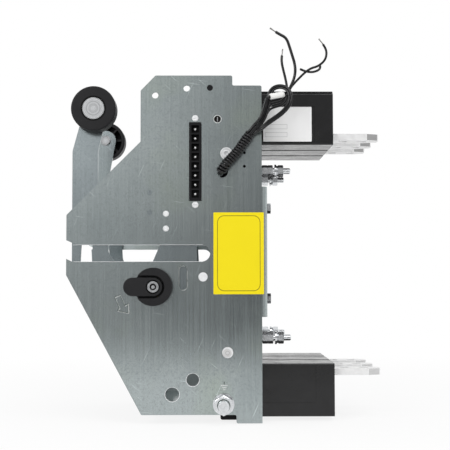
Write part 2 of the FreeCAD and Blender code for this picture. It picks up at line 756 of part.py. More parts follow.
def guide_block(place, side):
    """Block inside a side plate that centres the breaker, with two pegs through the plate."""
    block = body("guide_block_" + place)
    inner = plate_inner_y - d.guide_depth
    low, high = signed(side, inner, plate_inner_y)
    face = rectangle((d.guide_front_x, d.guide_rear_x), (d.guide_low_z, d.guide_high_z))
    slab(block, "xz", low, high, [face])
    lead = d.guide_lead
    ramp = [
        (d.guide_front_x - 1, side * (inner - 1)),
        (d.guide_front_x + lead * 2, side * (inner - 1)),
        (d.guide_front_x + lead * 2, side * inner),
        (d.guide_front_x, side * (inner + lead)),
        (d.guide_front_x - 1, side * (inner + lead)),
    ]
    recess(block, "xy", d.guide_low_z - 1, d.guide_high_z + 1, [ramp])
    pegs = [(d.peg_x, d.peg_low_z, d.peg_radius), (d.peg_x, d.peg_high_z, d.peg_radius)]
    peg_low, peg_high = signed(side, plate_inner_y - d.sheet, d.plate_y - d.side_gap)
    slab(block, "xz", peg_low, peg_high, circles=pegs)
    bore = d.rivet_shank + d.seat_gap
    bores = [(d.rivet_x, d.rivet_low_z, bore), (d.rivet_x, d.rivet_high_z, bore)]
    recess(block, "xz", low - 1, high, circles=bores)
    node(block, "guide_block_" + place)


def guide_rivets():
    """Domed rivets that hold the guide blocks."""
    rivets = []
    for _, side in SIDES:
        for z in (d.rivet_low_z, d.rivet_high_z):
            across = (d.rivet_x, z)
            low, high = signed(side, plate_inner_y - d.guide_depth, d.plate_y)
            shank = rod("rivet_shank", "y", d.rivet_shank, low, high, across)
            wide, narrow = d.rivet_head_radius, d.rivet_head_radius - d.rivet_head
            outer = signed(side, d.plate_y, d.plate_y + d.rivet_head)
            radii = (wide, narrow) if side > 0 else (narrow, wide)
            head = cone("rivet_head", "y", *radii, *outer, across)
            rivets.append(fuse("guide_rivet", shank, head))
    group("guide_rivets", rivets)


# Earth bolt


def earth_bolt():
    """Earth bolt that stands out of the near side plate, with its washers and nut."""
    across = (d.earth_x, d.earth_z)
    outer = -d.plate_y
    tip = outer - d.earth_reach
    chamfer = d.earth_radius / 5
    head = hexagon("earth_head", "y", d.earth_flats, -plate_inner_y, d.earth_head - plate_inner_y, across)
    nut_end = outer - d.washer_height * 2 - d.earth_nut_height
    thread = rod("earth_thread", "y", d.earth_thread_radius, nut_end, -plate_inner_y, across)
    free_end = rod("earth_free_end", "y", d.earth_radius, tip + chamfer, nut_end, across)
    point = cone("earth_point", "y", d.earth_radius - chamfer, d.earth_radius, tip, tip + chamfer, across)
    node(fuse("earth_bolt_solid", head, thread, free_end, point), "earth_bolt")
    bore = d.earth_thread_radius + d.seat_gap
    flat_end = outer - d.washer_height
    lock_end = flat_end - d.washer_height
    flat = cut(
        "earth_flat_washer",
        rod("washer_disc", "y", d.earth_washer_radius, flat_end, outer, across),
        rod("washer_bore", "y", bore, flat_end, outer, across),
    )
    lock = cut(
        "earth_spring_washer",
        rod("washer_disc", "y", d.earth_lock_radius, lock_end, flat_end, across),
        rod("washer_bore", "y", bore, lock_end, flat_end, across),
    )
    group("earth_washers", [flat, lock])
    node(
        cut(
            "earth_nut_solid",
            chamfered_nut("earth_nut_body", "y", d.earth_flats, nut_end, lock_end, across),
            rod("nut_bore", "y", bore, nut_end, lock_end, across),
        ),
        "earth_nut",
    )


def chamfered_nut(name, axis, flats, low, high, across):
    """A hexagon whose corners are turned off at both faces."""
    body_part = hexagon(name + "_hexagon", axis, flats, low, high, across)
    height = size(high) - low
    radius = size(flats) * 0.52
    slope = height * 0.12
    low_face = cone(name + "_low", axis, radius, radius + slope * 1.7, low, low + slope, across)
    middle = rod(name + "_middle", axis, radius + slope * 1.7, low + slope, high - slope, across)
    high_face = cone(name + "_high", axis, radius + slope * 1.7, radius, high - slope, high, across)
    turned = fuse(name + "_turned", low_face, middle, high_face)
    common = doc.addObject("Part::Common", name)
    common.Base = body_part
    common.Tool = turned
    return common


# Contact bases and terminals


def contact_base(place, side):
    """Moulded block that holds the three jaws of one side of the breaker."""
    base = body(place + "_contact_base")
    low_z, high_z = signed(side, d.base_low_z, d.base_high_z)
    face = rectangle((-d.base_y, d.base_y), (low_z, high_z))
    slab(base, "yz", d.base_front_x, d.base_rear_x, [face])
    round_edges(base, "yz", face, d.base_round)
    outer_z = side * d.base_high_z
    round_edges(base, "xz", [(d.base_front_x, outer_z)], d.base_round)
    pockets = []
    barriers = []
    for _, pole in POLES:
        pocket_y = centred(pole * d.pole_pitch, d.jaw_pocket_width)
        pocket_z = centred(side * d.bar_z, d.jaw_pocket_height)
        pockets.append(rectangle(pocket_y, pocket_z))
    for between in (-1, 1):
        slot_y = centred(between * d.pole_pitch / 2, d.barrier_slot)
        slot_z = signed(side, d.base_low_z + 6, d.base_high_z + 1)
        barriers.append(rectangle(slot_y, slot_z))
    recess(base, "yz", d.base_front_x - 1, d.jaw_pocket_floor_x, pockets)
    recess(base, "yz", d.base_front_x - 1, d.base_front_x + d.barrier_depth, barriers)
    windows = []
    studs = []
    for _, pole in POLES:
        window_y = centred(pole * d.pole_pitch, d.bar_width + d.bar_slot_gap * 2)
        window_z = centred(side * d.bar_z, d.bar_thickness + d.bar_slot_gap * 2)
        windows.append(rectangle(window_y, window_z))
    for y in (-1, 1):
        studs.append((y * d.stud_y, side * d.stud_z, d.thread_radius + d.seat_gap))
    recess(base, "yz", d.jaw_pocket_floor_x - 1, d.base_rear_x, windows)
    recess(base, "yz", d.stud_front_x, d.base_rear_x, circles=studs)
    if side > 0:
        across = [(d.side_screw_x, d.side_screw_z, d.side_screw_thread + d.seat_gap)]
        for y in (-1, 1):
            limits = signed(y, d.base_y - d.side_screw_depth, d.base_y)
            recess(base, "xz", *limits, circles=across)
    else:
        across = [(d.side_boss_x, d.side_boss_z, d.boss_bore)]
        for y in (-1, 1):
            limits = signed(y, d.base_y - d.side_screw_depth, d.base_y)
            recess(base, "xz", *limits, circles=across)
    node(base, place + "_contact_base")


def terminal_housing(level, side, place, pole):
    """Hollow moulding round one terminal bar, with a label recess on both sides."""
    name = "%s_housing_%s" % (level, place)
    housing = body(name)
    middle = pole * d.pole_pitch
    face_y = centred(middle, housing_width)
    face = rectangle(face_y, signed(side, d.housing_low_z, d.housing_high_z))
    slab(housing, "yz", d.base_rear_x, d.housing_rear_x, [face])
    round_edges(housing, "yz", face, d.housing_round)
    wall = d.housing_wall
    inner = rectangle(
        (face_y[0] + wall, face_y[1] - wall),
        signed(side, d.housing_low_z + wall, d.housing_high_z - wall),
    )
    recess(housing, "yz", d.base_rear_x - 1, d.housing_rear_x - wall, [inner])
    window = rectangle(
        centred(middle, d.bar_width + d.bar_slot_gap * 2),
        centred(side * d.bar_z, d.bar_thickness + d.bar_slot_gap * 2),
    )
    recess(housing, "yz", d.housing_rear_x - wall - 1, d.housing_rear_x, [window])
    panel = rectangle(
        (d.panel_front_x, d.panel_rear_x), signed(side, d.panel_low_z, d.panel_high_z)
    )
    recess(housing, "xz", face_y[0], face_y[0] + d.panel_recess, [panel])
    recess(housing, "xz", face_y[1] - d.panel_recess, face_y[1], [panel])
    node(housing, name)


def terminal_bar(level, side, place, pole):
    """Tinned flat bar with a tapered tip and two cable holes."""
    name = "%s_bar_%s" % (level, place)
    bar = body(name)
    middle = size(pole * d.pole_pitch)
    half = d.bar_width / 2
    tip_half = d.bar_tip_width / 2
    shoulder_x = d.bar_tip_x - d.bar_taper
    outline = [
        (d.bar_front_x, middle - half),
        (shoulder_x, middle - half),
        (d.bar_tip_x, middle - tip_half),
        (d.bar_tip_x, middle + tip_half),
        (shoulder_x, middle + half),
        (d.bar_front_x, middle + half),
    ]
    limits = centred(side * d.bar_z, d.bar_thickness)
    slab(bar, "xy", *limits, [outline])
    round_edges(bar, "xy", [outline[1], outline[4]], d.bar_taper / 3)
    round_edges(bar, "xy", [outline[2], outline[3]], d.bar_taper / 6)
    holes = [
        (d.bar_hole_x, middle, d.bar_hole_radius),
        (d.bar_hole_x - d.bar_hole_pitch, middle, d.bar_hole_radius),
    ]
    recess(bar, "xy", *limits, circles=holes)
    node(bar, name)


def finger_outline(side, facing):
    """One contact finger seen from the side: root on the bar, grip, flared mouth."""
    axis = side * d.bar_z
    root = d.bar_thickness / 2
    grip = d.grip_gap / 2
    thick = d.finger_thickness
    profile = [
        (d.finger_root_x, root),
        (d.finger_root_x, root + thick),
        (d.finger_bend_x, root + thick),
        (d.finger_touch_x, grip + thick),
        (d.finger_tip_x, grip + d.finger_flare + thick),
        (d.finger_tip_x, grip + d.finger_flare),
        (d.finger_touch_x, grip),
        (d.finger_bend_x - 1, root),
    ]
    return [(x, axis + z * facing) for x, z in profile]


def jaw(level, side, place, pole):
    """The two spring loaded fingers that grip one blade of the breaker."""
    name = "%s_jaw_%s" % (level, place)
    fingers = []
    for facing in (-1, 1):
        finger = body(name + "_finger")
        outline = finger_outline(side, facing)
        slab(finger, "xz", *centred(pole * d.pole_pitch, d.finger_width), [outline])
        round_edges(finger, "xz", [outline[3], outline[6]], d.finger_thickness / 2)
        fingers.append(finger)
    group(name, fingers)


def jaw_springs():
    """Bent leaf springs between the fingers and the walls of their pockets."""
    springs = []
    strip = d.spring_strip
    root = d.bar_thickness / 2 + d.finger_thickness
    wall = d.jaw_pocket_height / 2
    grip = d.grip_gap / 2 + d.finger_thickness
    crest_x = (d.finger_bend_x + d.finger_root_x) / 2
    for _, side in LEVELS:
        for _, pole in POLES:
            for facing in (-1, 1):
                axis = side * d.bar_z
                profile = [
                    (d.finger_root_x, root),
                    (crest_x, wall),
                    (crest_x - 5, wall),
                    (d.finger_touch_x, grip + strip),
                    (d.finger_touch_x + 1, grip + strip / 4),
                    (crest_x - 5, wall - strip * 1.2),
                    (crest_x, wall - strip * 1.2),
                    (d.finger_root_x - 1.6, root),
                ]
                spring = body("jaw_spring")
                outline = [(x, axis + z * facing) for x, z in profile]
                slab(spring, "xz", *centred(pole * d.pole_pitch, d.spring_width), [outline])
                springs.append(spring)
    group("jaw_springs", springs)


# Rear studs


def rear_studs():
    """Threaded studs that carry the cradle on the control panel, with nuts and washers."""
    studs = []
    nuts = []
    washers = []
    lock_washers = []
    band_low = d.panel_gap
    band_high = band_low + d.stud_band
    chamfer = d.stud_radius / 4
    bore = d.thread_radius + d.seat_gap
    for y in (-1, 1):
        for z in (-1, 1):
            across = (y * d.stud_y, z * d.stud_z)
            inner = rod("stud_inner", "x", d.thread_radius, d.stud_front_x, band_low, across)
            band = rod("stud_band", "x", d.stud_radius, band_low, band_high, across)
            thread_end = d.stud_tip_x - chamfer
            outer = rod("stud_outer", "x", d.thread_radius, band_high, thread_end, across)
            radii = (d.thread_radius, d.thread_radius - chamfer)
            tip = cone("stud_tip", "x", *radii, thread_end, d.stud_tip_x, across)
            studs.append(fuse("stud", inner, band, outer, tip))
            first_nut = band_low - d.nut_height * 2
            flat_end = band_high + d.washer_height
            lock_end = flat_end + d.washer_height
            for low in (first_nut, first_nut + d.nut_height, lock_end):
                hexed = chamfered_nut("nut", "x", d.nut_flats, low, low + d.nut_height, across)
                hole = rod("nut_hole", "x", bore, low, low + d.nut_height, across)
                nuts.append(cut("stud_nut", hexed, hole))
            for low, high in ((band_high, flat_end), (d.base_rear_x, d.base_rear_x + d.washer_height)):
                disc = rod("washer_disc", "x", d.washer_radius, low, high, across)
                hole = rod("washer_hole", "x", bore, low, high, across)
                washers.append(cut("stud_washer", disc, hole))
            for low, high in ((flat_end, lock_end), (d.base_rear_x + d.washer_height, first_nut)):
                disc = rod("washer_disc", "x", d.spring_washer_radius, low, high, across)
                hole = rod("washer_hole", "x", bore, low, high, across)
                lock_washers.append(cut("lock_washer", disc, hole))
    group("rear_studs", studs)
    group("stud_nuts", nuts)
    group("stud_washers", washers)
    group("spring_washers", lock_washers)


# Side fixings of the contact bases


def side_screws():
    """Screws with a spacer shoulder that hold the upper contact base between the plates."""
    screws = []
    across = (d.side_screw_x, d.side_screw_z)
    top = d.plate_y + d.side_screw_head
    for _, side in SIDES:
        shoulder = rod("shoulder", "y", d.boss_radius, *signed(side, d.base_y, d.plate_y), across)
        outer = signed(side, d.plate_y, top)
        head = rod("head", "y", d.side_screw_head_radius, *outer, across)
        depth = d.base_y - d.side_screw_depth
        thread = rod("thread", "y", d.side_screw_thread, *signed(side, depth, d.base_y), across)
        ring_depth = signed(side, d.plate_y + d.side_screw_head / 2, top)
        socket = hexagon("socket", "y", d.side_screw_thread * 1.6, *outer, across)
        ring_outer = rod("ring_outer", "y", d.side_screw_head_radius - 1, *ring_depth, across)
        ring_inner = rod("ring_inner", "y", d.side_screw_head_radius - 2, *ring_depth, across)
        ring = cut("ring", ring_outer, ring_inner)
        solid = fuse("side_screw_solid", shoulder, head, thread)
        screws.append(cut("side_screw", solid, socket, ring))
    group("side_screws", screws)


def side_bosses():
    """Domed bosses with a pin that locate the lower contact base between the plates."""
    bosses = []
    across = (d.side_boss_x, d.side_boss_z)
    top = d.plate_y + d.boss_stand
    edge = top - d.boss_groove
    for _, side in SIDES:
        sleeve = rod("boss_sleeve", "y", d.boss_radius, *signed(side, d.base_y, edge), across)
        radii = (d.boss_radius - d.boss_groove, d.boss_radius)
        dome_radii = radii if side < 0 else radii[::-1]
        dome = cone("boss_dome", "y", *dome_radii, *signed(side, edge, top), across)
        depth = d.base_y - d.side_screw_depth + d.side_gap
        pin = rod("boss_pin", "y", d.boss_bore - d.seat_gap, *signed(side, depth, d.base_y), across)
        groove = signed(side, edge, top)
        ring_outer = rod("boss_ring_outer", "y", d.boss_radius * 0.7, *groove, across)
        ring_inner = rod("boss_ring_inner", "y", d.boss_radius * 0.45, *groove, across)
        ring = cut("boss_ring", ring_outer, ring_inner)
        bosses.append(cut("side_boss", fuse("side_boss_solid", sleeve, dome, pin), ring))
    group("side_bosses", bosses)


# Levers


def sine(angle):
    """Sine of an angle in degrees."""
    return Size(math.sin(math.radians(angle.number)), "sin(%s)" % angle.formula)


def cosine(angle):
    """Cosine of an angle in degrees."""
    return Size(math.cos(math.radians(angle.number)), "cos(%s)" % angle.formula)


def swung(thing, label, x, z, place):
    """Register a piece of a lever with its own origin at (x, z), the far one leading by its turn."""
    node(thing, label)
    if place == "far":
        turn = d.far_lever_turn
        across, up = x - d.pivot_x, z - d.pivot_z
        x = d.pivot_x + across * cosine(turn) - up * sine(turn)
        z = d.pivot_z + across * sine(turn) + up * cosine(turn)
        thing.Placement.Rotation = FreeCAD.Rotation(V(0, -1, 0), turn.number)
        thing.setExpression(".Placement.Rotation.Angle", turn.formula)
    put(thing, x - d.panel_gap, 0, z)


def lever_outline():
    """Lever seen from the side, from the stop prong round the lock beak to the arm and back."""
    side_x, side_z = d.head_radius * cosine(d.arm_lean), d.head_radius * sine(d.arm_lean)
    over_x, over_z = side_z, side_x
    hub_x, hub_z = d.pivot_x + d.hub_radius, d.hub_radius
    return [
        (d.stop_front_x, d.stop_top_z),
        (d.stop_front_x, d.slot_half + 1),
        (d.beak_x, d.beak_z),
        (d.stop_front_x, d.beak_z - 1),
        (d.stop_front_x, d.limb_top_z),
        (d.valley_x, d.limb_top_z),
        (d.prong_rear_x, d.prong_low_z),
        (d.prong_rear_x, d.shank_top_z),
        (d.arm_rear_x, d.arm_widens_z),
        (d.arm_rear_x, d.arm_bend_z),
        (d.roller_x + side_x + over_x, d.roller_z - side_z + over_z),
        (d.roller_x - side_x + over_x, d.roller_z + side_z + over_z),
        (d.arm_front_x, d.arm_bend_z),
        (d.arm_front_x, d.hook_chin_z),
        (d.hook_rear_x, d.hook_roof_z),
        (d.hook_rear_x, d.hook_floor_z),
        (d.hook_front_x - d.hook_throat, d.hook_floor_z),
        (d.hook_front_x, d.hook_throat_z),
        (d.arm_front_x, d.hook_mouth_low_z),
        (d.arm_front_x, d.limb_front_z),
        (d.limb_front_x, d.limb_low_z),
        (d.pivot_x - d.hub_radius, d.limb_low_z),
        (hub_x, d.pivot_z - hub_z),
        (hub_x, d.pivot_z + hub_z),
        (d.stop_rear_x, d.pivot_z + hub_z),
        (d.stop_rear_x, d.stop_top_z),
    ]


def lever(place, side):
    """Lever plate that draws the breaker in by a pin on the breaker's flank."""
    plate = body("lever_" + place)
    outer = plate_inner_y - d.side_gap
    low, high = signed(side, outer - d.lever_thickness, outer)
    outline = [(x - d.pivot_x, z - d.pivot_z) for x, z in lever_outline()]
    slab(plate, "xz", low, high, [outline])
    pin_x, pin_z = d.roller_x - d.pivot_x, d.roller_z - d.pivot_z
    holes = [
        (size(0), size(0), d.pivot_radius + d.run_gap),
        (pin_x, pin_z, d.axle_radius + d.seat_gap),
    ]
    recess(plate, "xz", low - 1, high, circles=holes)
    round_edges(plate, "xz", [outline[10], outline[11]], d.head_radius * 0.98)
    round_edges(plate, "xz", [outline[22], outline[23]], d.hub_radius * 0.98)
    hook_width = d.hook_rear_x - d.hook_front_x
    round_edges(plate, "xz", [outline[15], outline[16]], hook_width * 0.48)
    round_edges(plate, "xz", [outline[i] for i in (6, 9, 12, 21)], d.lever_round * 4)
    soft = [outline[i] for i in (0, 4, 5, 7, 8, 13, 14, 17, 19, 20, 25)]
    round_edges(plate, "xz", soft, d.lever_round)
    round_edges(plate, "xz", [outline[2], outline[18]], d.lever_round / 3)
    swung(plate, "lever_" + place, d.pivot_x, d.pivot_z, place)


def pivot_pins():
    """Riveted pins that carry the levers, with a head inside."""
    pins = []
    across = (d.pivot_x, d.pivot_z)
    inner = plate_inner_y - d.side_gap * 2 - d.lever_thickness
    head_end = inner - d.washer_height
    for _, side in SIDES:
        limits = signed(side, inner, d.plate_y + d.side_gap)
        shank = rod("pivot_shank", "y", d.pivot_radius, *limits, across)
        head = rod("pivot_head", "y", d.pivot_radius * 1.7, *signed(side, head_end, inner), across)
        pins.append(fuse("pivot_pin", shank, head))
    group("pivot_pins", pins)


# Rollers


def rims_at(owner, rims):
    """Names of the circular edges about the body's own Y axis, by radius and level."""
    doc.recompute()
    names = []
    for index, edge in enumerate(owner.Tip.Shape.Edges, start=1):
        curve = edge.Curve
        if not isinstance(curve, Part.Circle):
            continue
        for radius, level in rims:
            same_radius = abs(curve.Radius - size(radius).number) < 0.001
            if same_radius and abs(curve.Center.y - size(level).number) < 0.001:
                names.append("Edge%d" % index)
    if not names:
        raise RuntimeError("%s lacks a rim to round" % owner.Name)
    return names


def round_rims(owner, rims, radius):
    """Round circular edges about the body's own Y axis."""
    names = rims_at(owner, rims)
    fillet = owner.newObject("PartDesign::Fillet", "Fillet")
    fillet.Base = (owner.Group[-2], names)
    bind(fillet, Radius=radius)
    owner.Tip = fillet


def roller(place, side):
    """Plastic roller, closed in front and ribbed behind, round its own origin."""
    wheel = body("roller_" + place)
    inner = plate_inner_y
    outer = d.plate_y + d.roller_stand
    slab(wheel, "xz", *signed(side, inner, outer), circles=[(0, 0, d.roller_radius)])
    face = side * outer
    round_rims(wheel, [(d.roller_radius, face), (d.roller_radius, side * inner)], d.lever_round / 2)
    hollow = [(0, 0, d.roller_radius - d.rim_wall), (0, 0, d.roller_hub_radius)]
    recess(wheel, "xz", *signed(side, inner - 1, outer - d.roller_web), circles=hollow)
    cap_floor = outer - d.cap_height - d.side_gap
    recess(wheel, "xz", *signed(side, cap_floor, outer), circles=[(0, 0, d.cap_recess_radius)])
    bore = [(0, 0, d.axle_radius + d.run_gap)]
    recess(wheel, "xz", *signed(side, inner - 1, outer), circles=bore)
    rib_reach = (d.roller_hub_radius - 1, d.roller_radius - d.rim_wall + 1)
    rib_face = rectangle(centred(0, d.rib_thickness), rib_reach)
    rib = slab(wheel, "xz", *signed(side, inner + 1, outer - d.roller_web + 1), [rib_face])
    doc.recompute()
    ribs = wheel.newObject("PartDesign::PolarPattern", "Ribs")
    axis = [item for item in wheel.Origin.OriginFeatures if item.Role == "Y_Axis"][0]
    ribs.Originals = [rib]
    ribs.Axis = (axis, [""])
    ribs.Angle = 360
    bind(ribs, Occurrences=d.roller_ribs)
    wheel.Tip = ribs
    swung(wheel, "roller_" + place, d.roller_x, d.roller_z, place)


def roller_axle(place, side):
    """Aluminium shoulder pin of a roller, riveted on the inner face of the lever."""
    outer = d.plate_y + d.roller_stand
    floor = outer - d.cap_height
    lever_inner = plate_inner_y - d.side_gap - d.lever_thickness
    across = (0, 0)
    chamfer = d.cap_height / 8
    cap = rod("axle_cap", "y", d.cap_radius, *signed(side, floor, outer - chamfer), across)
    slope = signed(side, outer - chamfer, outer)
    radii = (d.cap_radius, d.cap_radius - chamfer)
    bevel = cone("axle_bevel", "y", *(radii if side > 0 else radii[::-1]), *slope, across)
    shank = rod("axle_shank", "y", d.axle_radius, *signed(side, lever_inner, floor), across)
    rivet_end = lever_inner - d.axle_rivet
    rivet_radii = (d.axle_rivet_radius - d.axle_rivet, d.axle_rivet_radius)
    rivet = cone(
        "axle_rivet",
        "y",
        *(rivet_radii if side > 0 else rivet_radii[::-1]),
        *signed(side, rivet_end, lever_inner),
        across,
    )
    axle = fuse("roller_axle_solid", cap, bevel, shank, rivet)
    swung(axle, "roller_axle_" + place, d.roller_x, d.roller_z, place)


# Lock handle


def lock_handle():
    """Handle of the position lock: a disc with a finger bar in a groove."""
    handle = body("lock_handle")
    base = d.plate_y + d.side_gap
    face = base + d.knob_height
    floor = base + d.groove_floor
    top = floor + d.grip_height
    slab(handle, "xz", -face, -base, circles=[(d.lock_x, d.lock_z, d.knob_radius)])
    centre = (d.lock_x, d.lock_z)
    half = d.grip_width / 2 + d.grip_groove
    groove = rectangle((d.lock_x - d.knob_radius - 1, d.lock_x), (d.lock_z - half, d.lock_z + half))
    recess(handle, "xz", -face, -floor, [groove])
    recess(handle, "xz", -face, -floor, circles=[(*centre, half)])
    grip_half = d.grip_width / 2
    tip_x = d.lock_x - d.grip_reach + grip_half
    bar = rectangle((tip_x, d.lock_x), (d.lock_z - grip_half, d.lock_z + grip_half))
    slab(handle, "xz", -top, -floor, [bar])
    slab(handle, "xz", -top, -floor, circles=[(tip_x, d.lock_z, grip_half)])
    slab(handle, "xz", -top, -floor, circles=[(*centre, grip_half)])
    screw_floor = top - d.screw_recess
    recess(handle, "xz", -top, -screw_floor, circles=[(*centre, d.screw_recess_radius)])
    recess(handle, "xz", -screw_floor, -base, circles=[(*centre, d.lock_thread_radius + d.seat_gap)])
    shaft_hole = d.lock_shaft_radius + d.seat_gap
    recess(handle, "xz", -floor, -base, circles=[(*centre, shaft_hole)])
    node(handle, "lock_handle")


def lock_screw():
    """Socket head screw that holds the handle on its shaft."""
    base = d.plate_y + d.side_gap
    seat = base + d.groove_floor + d.grip_height - d.screw_recess
    across = (d.lock_x, d.lock_z)
    top = seat + d.lock_screw_head
    head = rod("screw_head", "y", d.lock_screw_radius, -top, -seat, across)
    thread = rod("screw_thread", "y", d.lock_thread_radius, -seat, -plate_inner_y, across)
    socket_floor = top - d.lock_screw_head * 0.6
    socket = hexagon("screw_socket", "y", d.lock_socket_flats, -top, -socket_floor, across)
    node(cut("lock_screw_solid", fuse("screw_solid", head, thread), socket), "lock_screw")


def lock_shaft():
    """Shaft of the lock, cut to a half moon in the lever's plane."""
    across = (d.lock_x, d.lock_z)
    outer = d.plate_y + d.side_gap + d.groove_floor
    moon = plate_inner_y
    inner = plate_inner_y - d.side_gap * 2 - d.lever_thickness
    radius = d.lock_shaft_radius
    shaft = rod("shaft_round", "y", radius, -outer, -inner, across)
    flat = box(
        "shaft_flat",
        (d.lock_x + d.half_moon_cut, d.lock_x + radius + 1),
        (-moon, -inner + 1),
        centred(d.lock_z, radius * 2 + 2),
    )
    bore = rod("shaft_bore", "y", d.lock_thread_radius + d.seat_gap, -outer, -moon, across)
    node(cut("lock_shaft_solid", shaft, flat, bore), "lock_shaft")


# Side connector and position switch


def side_connector():
    """Eight way connector that looks through a window of the near side plate."""
    plug = body("side_connector")
    outer = d.plate_y + d.plug_stand
    inner = plate_inner_y - d.plug_depth
    face = rectangle(centred(d.plug_x, d.plug_width), (d.plug_low_z, d.plug_high_z))
    slab(plug, "xz", -outer, -inner, [face])
    round_edges(plug, "xz", face, d.plug_gap * 3)
    ear_back = plate_inner_y - d.ear_thickness
    ear_x = centred(d.plug_x, d.ear_width)
    ear_z = (d.plug_low_z - d.ear_length, d.plug_high_z + d.ear_length)
    slab(plug, "xz", -plate_inner_y, -ear_back, [rectangle(ear_x, ear_z)])
    middle_z = (d.plug_low_z + d.plug_high_z) / 2
    rows = [middle_z + d.cell_pitch * (index - 3.5) for index in range(8)]
    floor = outer - d.cell_depth
    cells = [rectangle(centred(d.plug_x, d.cell_size), centred(z, d.cell_size)) for z in rows]
    recess(plug, "xz", -outer, -floor, cells)
    pin_bore = d.pin_radius + d.seat_gap
    recess(plug, "xz", -floor - 1, -inner, circles=[(d.plug_x, z, pin_bore) for z in rows])
    screw_bore = d.ear_screw_radius + d.seat_gap
    screws = [d.plug_high_z + d.ear_screw_offset, d.plug_low_z - d.ear_screw_offset]
    recess(
        plug, "xz", -plate_inner_y - 1, -ear_back, circles=[(d.plug_x, z, screw_bore) for z in screws]
    )
    node(plug, "side_connector")
    connector_pins(rows, outer, inner)
    connector_screws(screws, ear_back)


def connector_pins(rows, outer, inner):
    """Round contact pins with a pointed end."""
    pins = []
    for z in rows:
        across = (d.plug_x, z)
        tip = -outer + 1
        shank = rod("pin_shank", "y", d.pin_radius, tip + 1, -inner + 1, across)
        point = cone("pin_point", "y", d.pin_radius / 2, d.pin_radius, tip, tip + 1, across)
        pins.append(fuse("connector_pin", shank, point))
    group("connector_pins", pins)


def connector_screws(places, ear_back):
    """Pan head screws of the connector."""
    screws = []
    for z in places:
        across = (d.plug_x, z)
        top = -d.plate_y - d.ear_head
        edge = -d.plate_y - d.ear_head / 2
        head = rod("pan_head", "y", d.ear_head_radius, edge, -d.plate_y, across)
        crown = cone("pan_crown", "y", d.ear_head_radius * 0.7, d.ear_head_radius, top, edge, across)
        shank = rod("pan_shank", "y", d.ear_screw_radius, -d.plate_y, -ear_back, across)
        slot = box(
            "pan_slot",
            centred(d.plug_x, d.ear_head_radius * 1.3),
            (top - 1, top + d.ear_head / 3),
            centred(z, d.ear_head / 3),
        )
        screws.append(cut("connector_screw", fuse("pan_solid", head, crown, shank), slot))
    group("connector_screws", screws)


def position_switch():
    """Switch behind the near side plate, with a locating peg."""
    switch = body("position_switch")
    inner = plate_inner_y - d.switch_depth
    face = rectangle((d.switch_front_x, d.switch_rear_x), (d.switch_low_z, d.switch_high_z))
    slab(switch, "xz", -plate_inner_y, -inner, [face])
    round_edges(switch, "xz", face, d.base_round)
    peg = [(d.switch_peg_x, d.switch_peg_z, d.switch_peg_radius)]
    slab(switch, "xz", -d.plate_y + d.side_gap, -inner - 1, circles=peg)
    bore = [(d.switch_screw_x, d.switch_screw_z, d.switch_screw_radius / 2 + d.seat_gap)]
    recess(switch, "xz", -plate_inner_y - 1, -inner - 1, circles=bore)
    node(switch, "position_switch")


def switch_screw():
    """Slotted screw sunk in the side plate that holds the switch."""
    across = (d.switch_screw_x, d.switch_screw_z)
    radius = d.switch_screw_radius
    top = -d.plate_y + d.side_gap
    head = rod("sunk_head", "y", radius, top, -plate_inner_y, across)
    shank = rod("sunk_shank", "y", radius / 2, -plate_inner_y, -plate_inner_y + radius * 2, across)
    slot = box(
        "sunk_slot",
        centred(d.switch_screw_x, radius / 3),
        (top - 1, top + d.sheet / 3),
        centred(d.switch_screw_z, radius * 2),
    )
    node(cut("switch_screw_solid", fuse("sunk_solid", head, shank), slot), "switch_screw")


# Wires


def cord_path(points):
    """Straight runs through the points, joined by tangent arcs, with the arcs' radii."""
    stops = [V(*point) for point in points]
    edges = []
    radii = []
    start = stops[0]
    for before, corner, after in zip(stops, stops[1:], stops[2:]):
        arriving, leaving = (corner - before), (after - corner)
        set_back = 0.45 * min(arriving.Length, leaving.Length)
        arriving.normalize()
        leaving.normalize()
        turn = arriving.getAngle(leaving)
        radius = set_back / math.tan(turn / 2)
        radii.append(radius)
        first, last = corner - arriving * set_back, corner + leaving * set_back
        inward = leaving - arriving
        inward.normalize()
        centre = corner + inward * (radius / math.cos(turn / 2))
        middle = centre - inward * radius
        edges.append(Part.LineSegment(start, first).toShape())
        edges.append(Part.Arc(first, middle, last).toShape())
        start = last
    edges.append(Part.LineSegment(start, stops[-1]).toShape())
    return Part.Wire(edges), radii


def cord(label, radius, points):
    """A round wire along its route."""
    path, radii = cord_path(points)
    start = path.Edges[0]
    direction = start.tangentAt(start.FirstParameter)
    ring = Part.Wire([Part.Circle(V(*points[0]), direction, radius.number).toShape()])
    tube = path.makePipeShell([ring], True, False)
    if tube.Volume < 0:
        tube.reverse()
    wanted = math.pi * radius.number**2 * path.Length
    if abs(tube.Volume - wanted) > wanted * 0.01:
        raise RuntimeError("the tube of %s has the wrong volume" % label)
    print("%s radii: %s" % (label, " ".join("%.1f" % value for value in radii)))
    wire = doc.addObject("Part::Feature", label + "_tube")
    wire.Shape = tube
    node(wire, label)


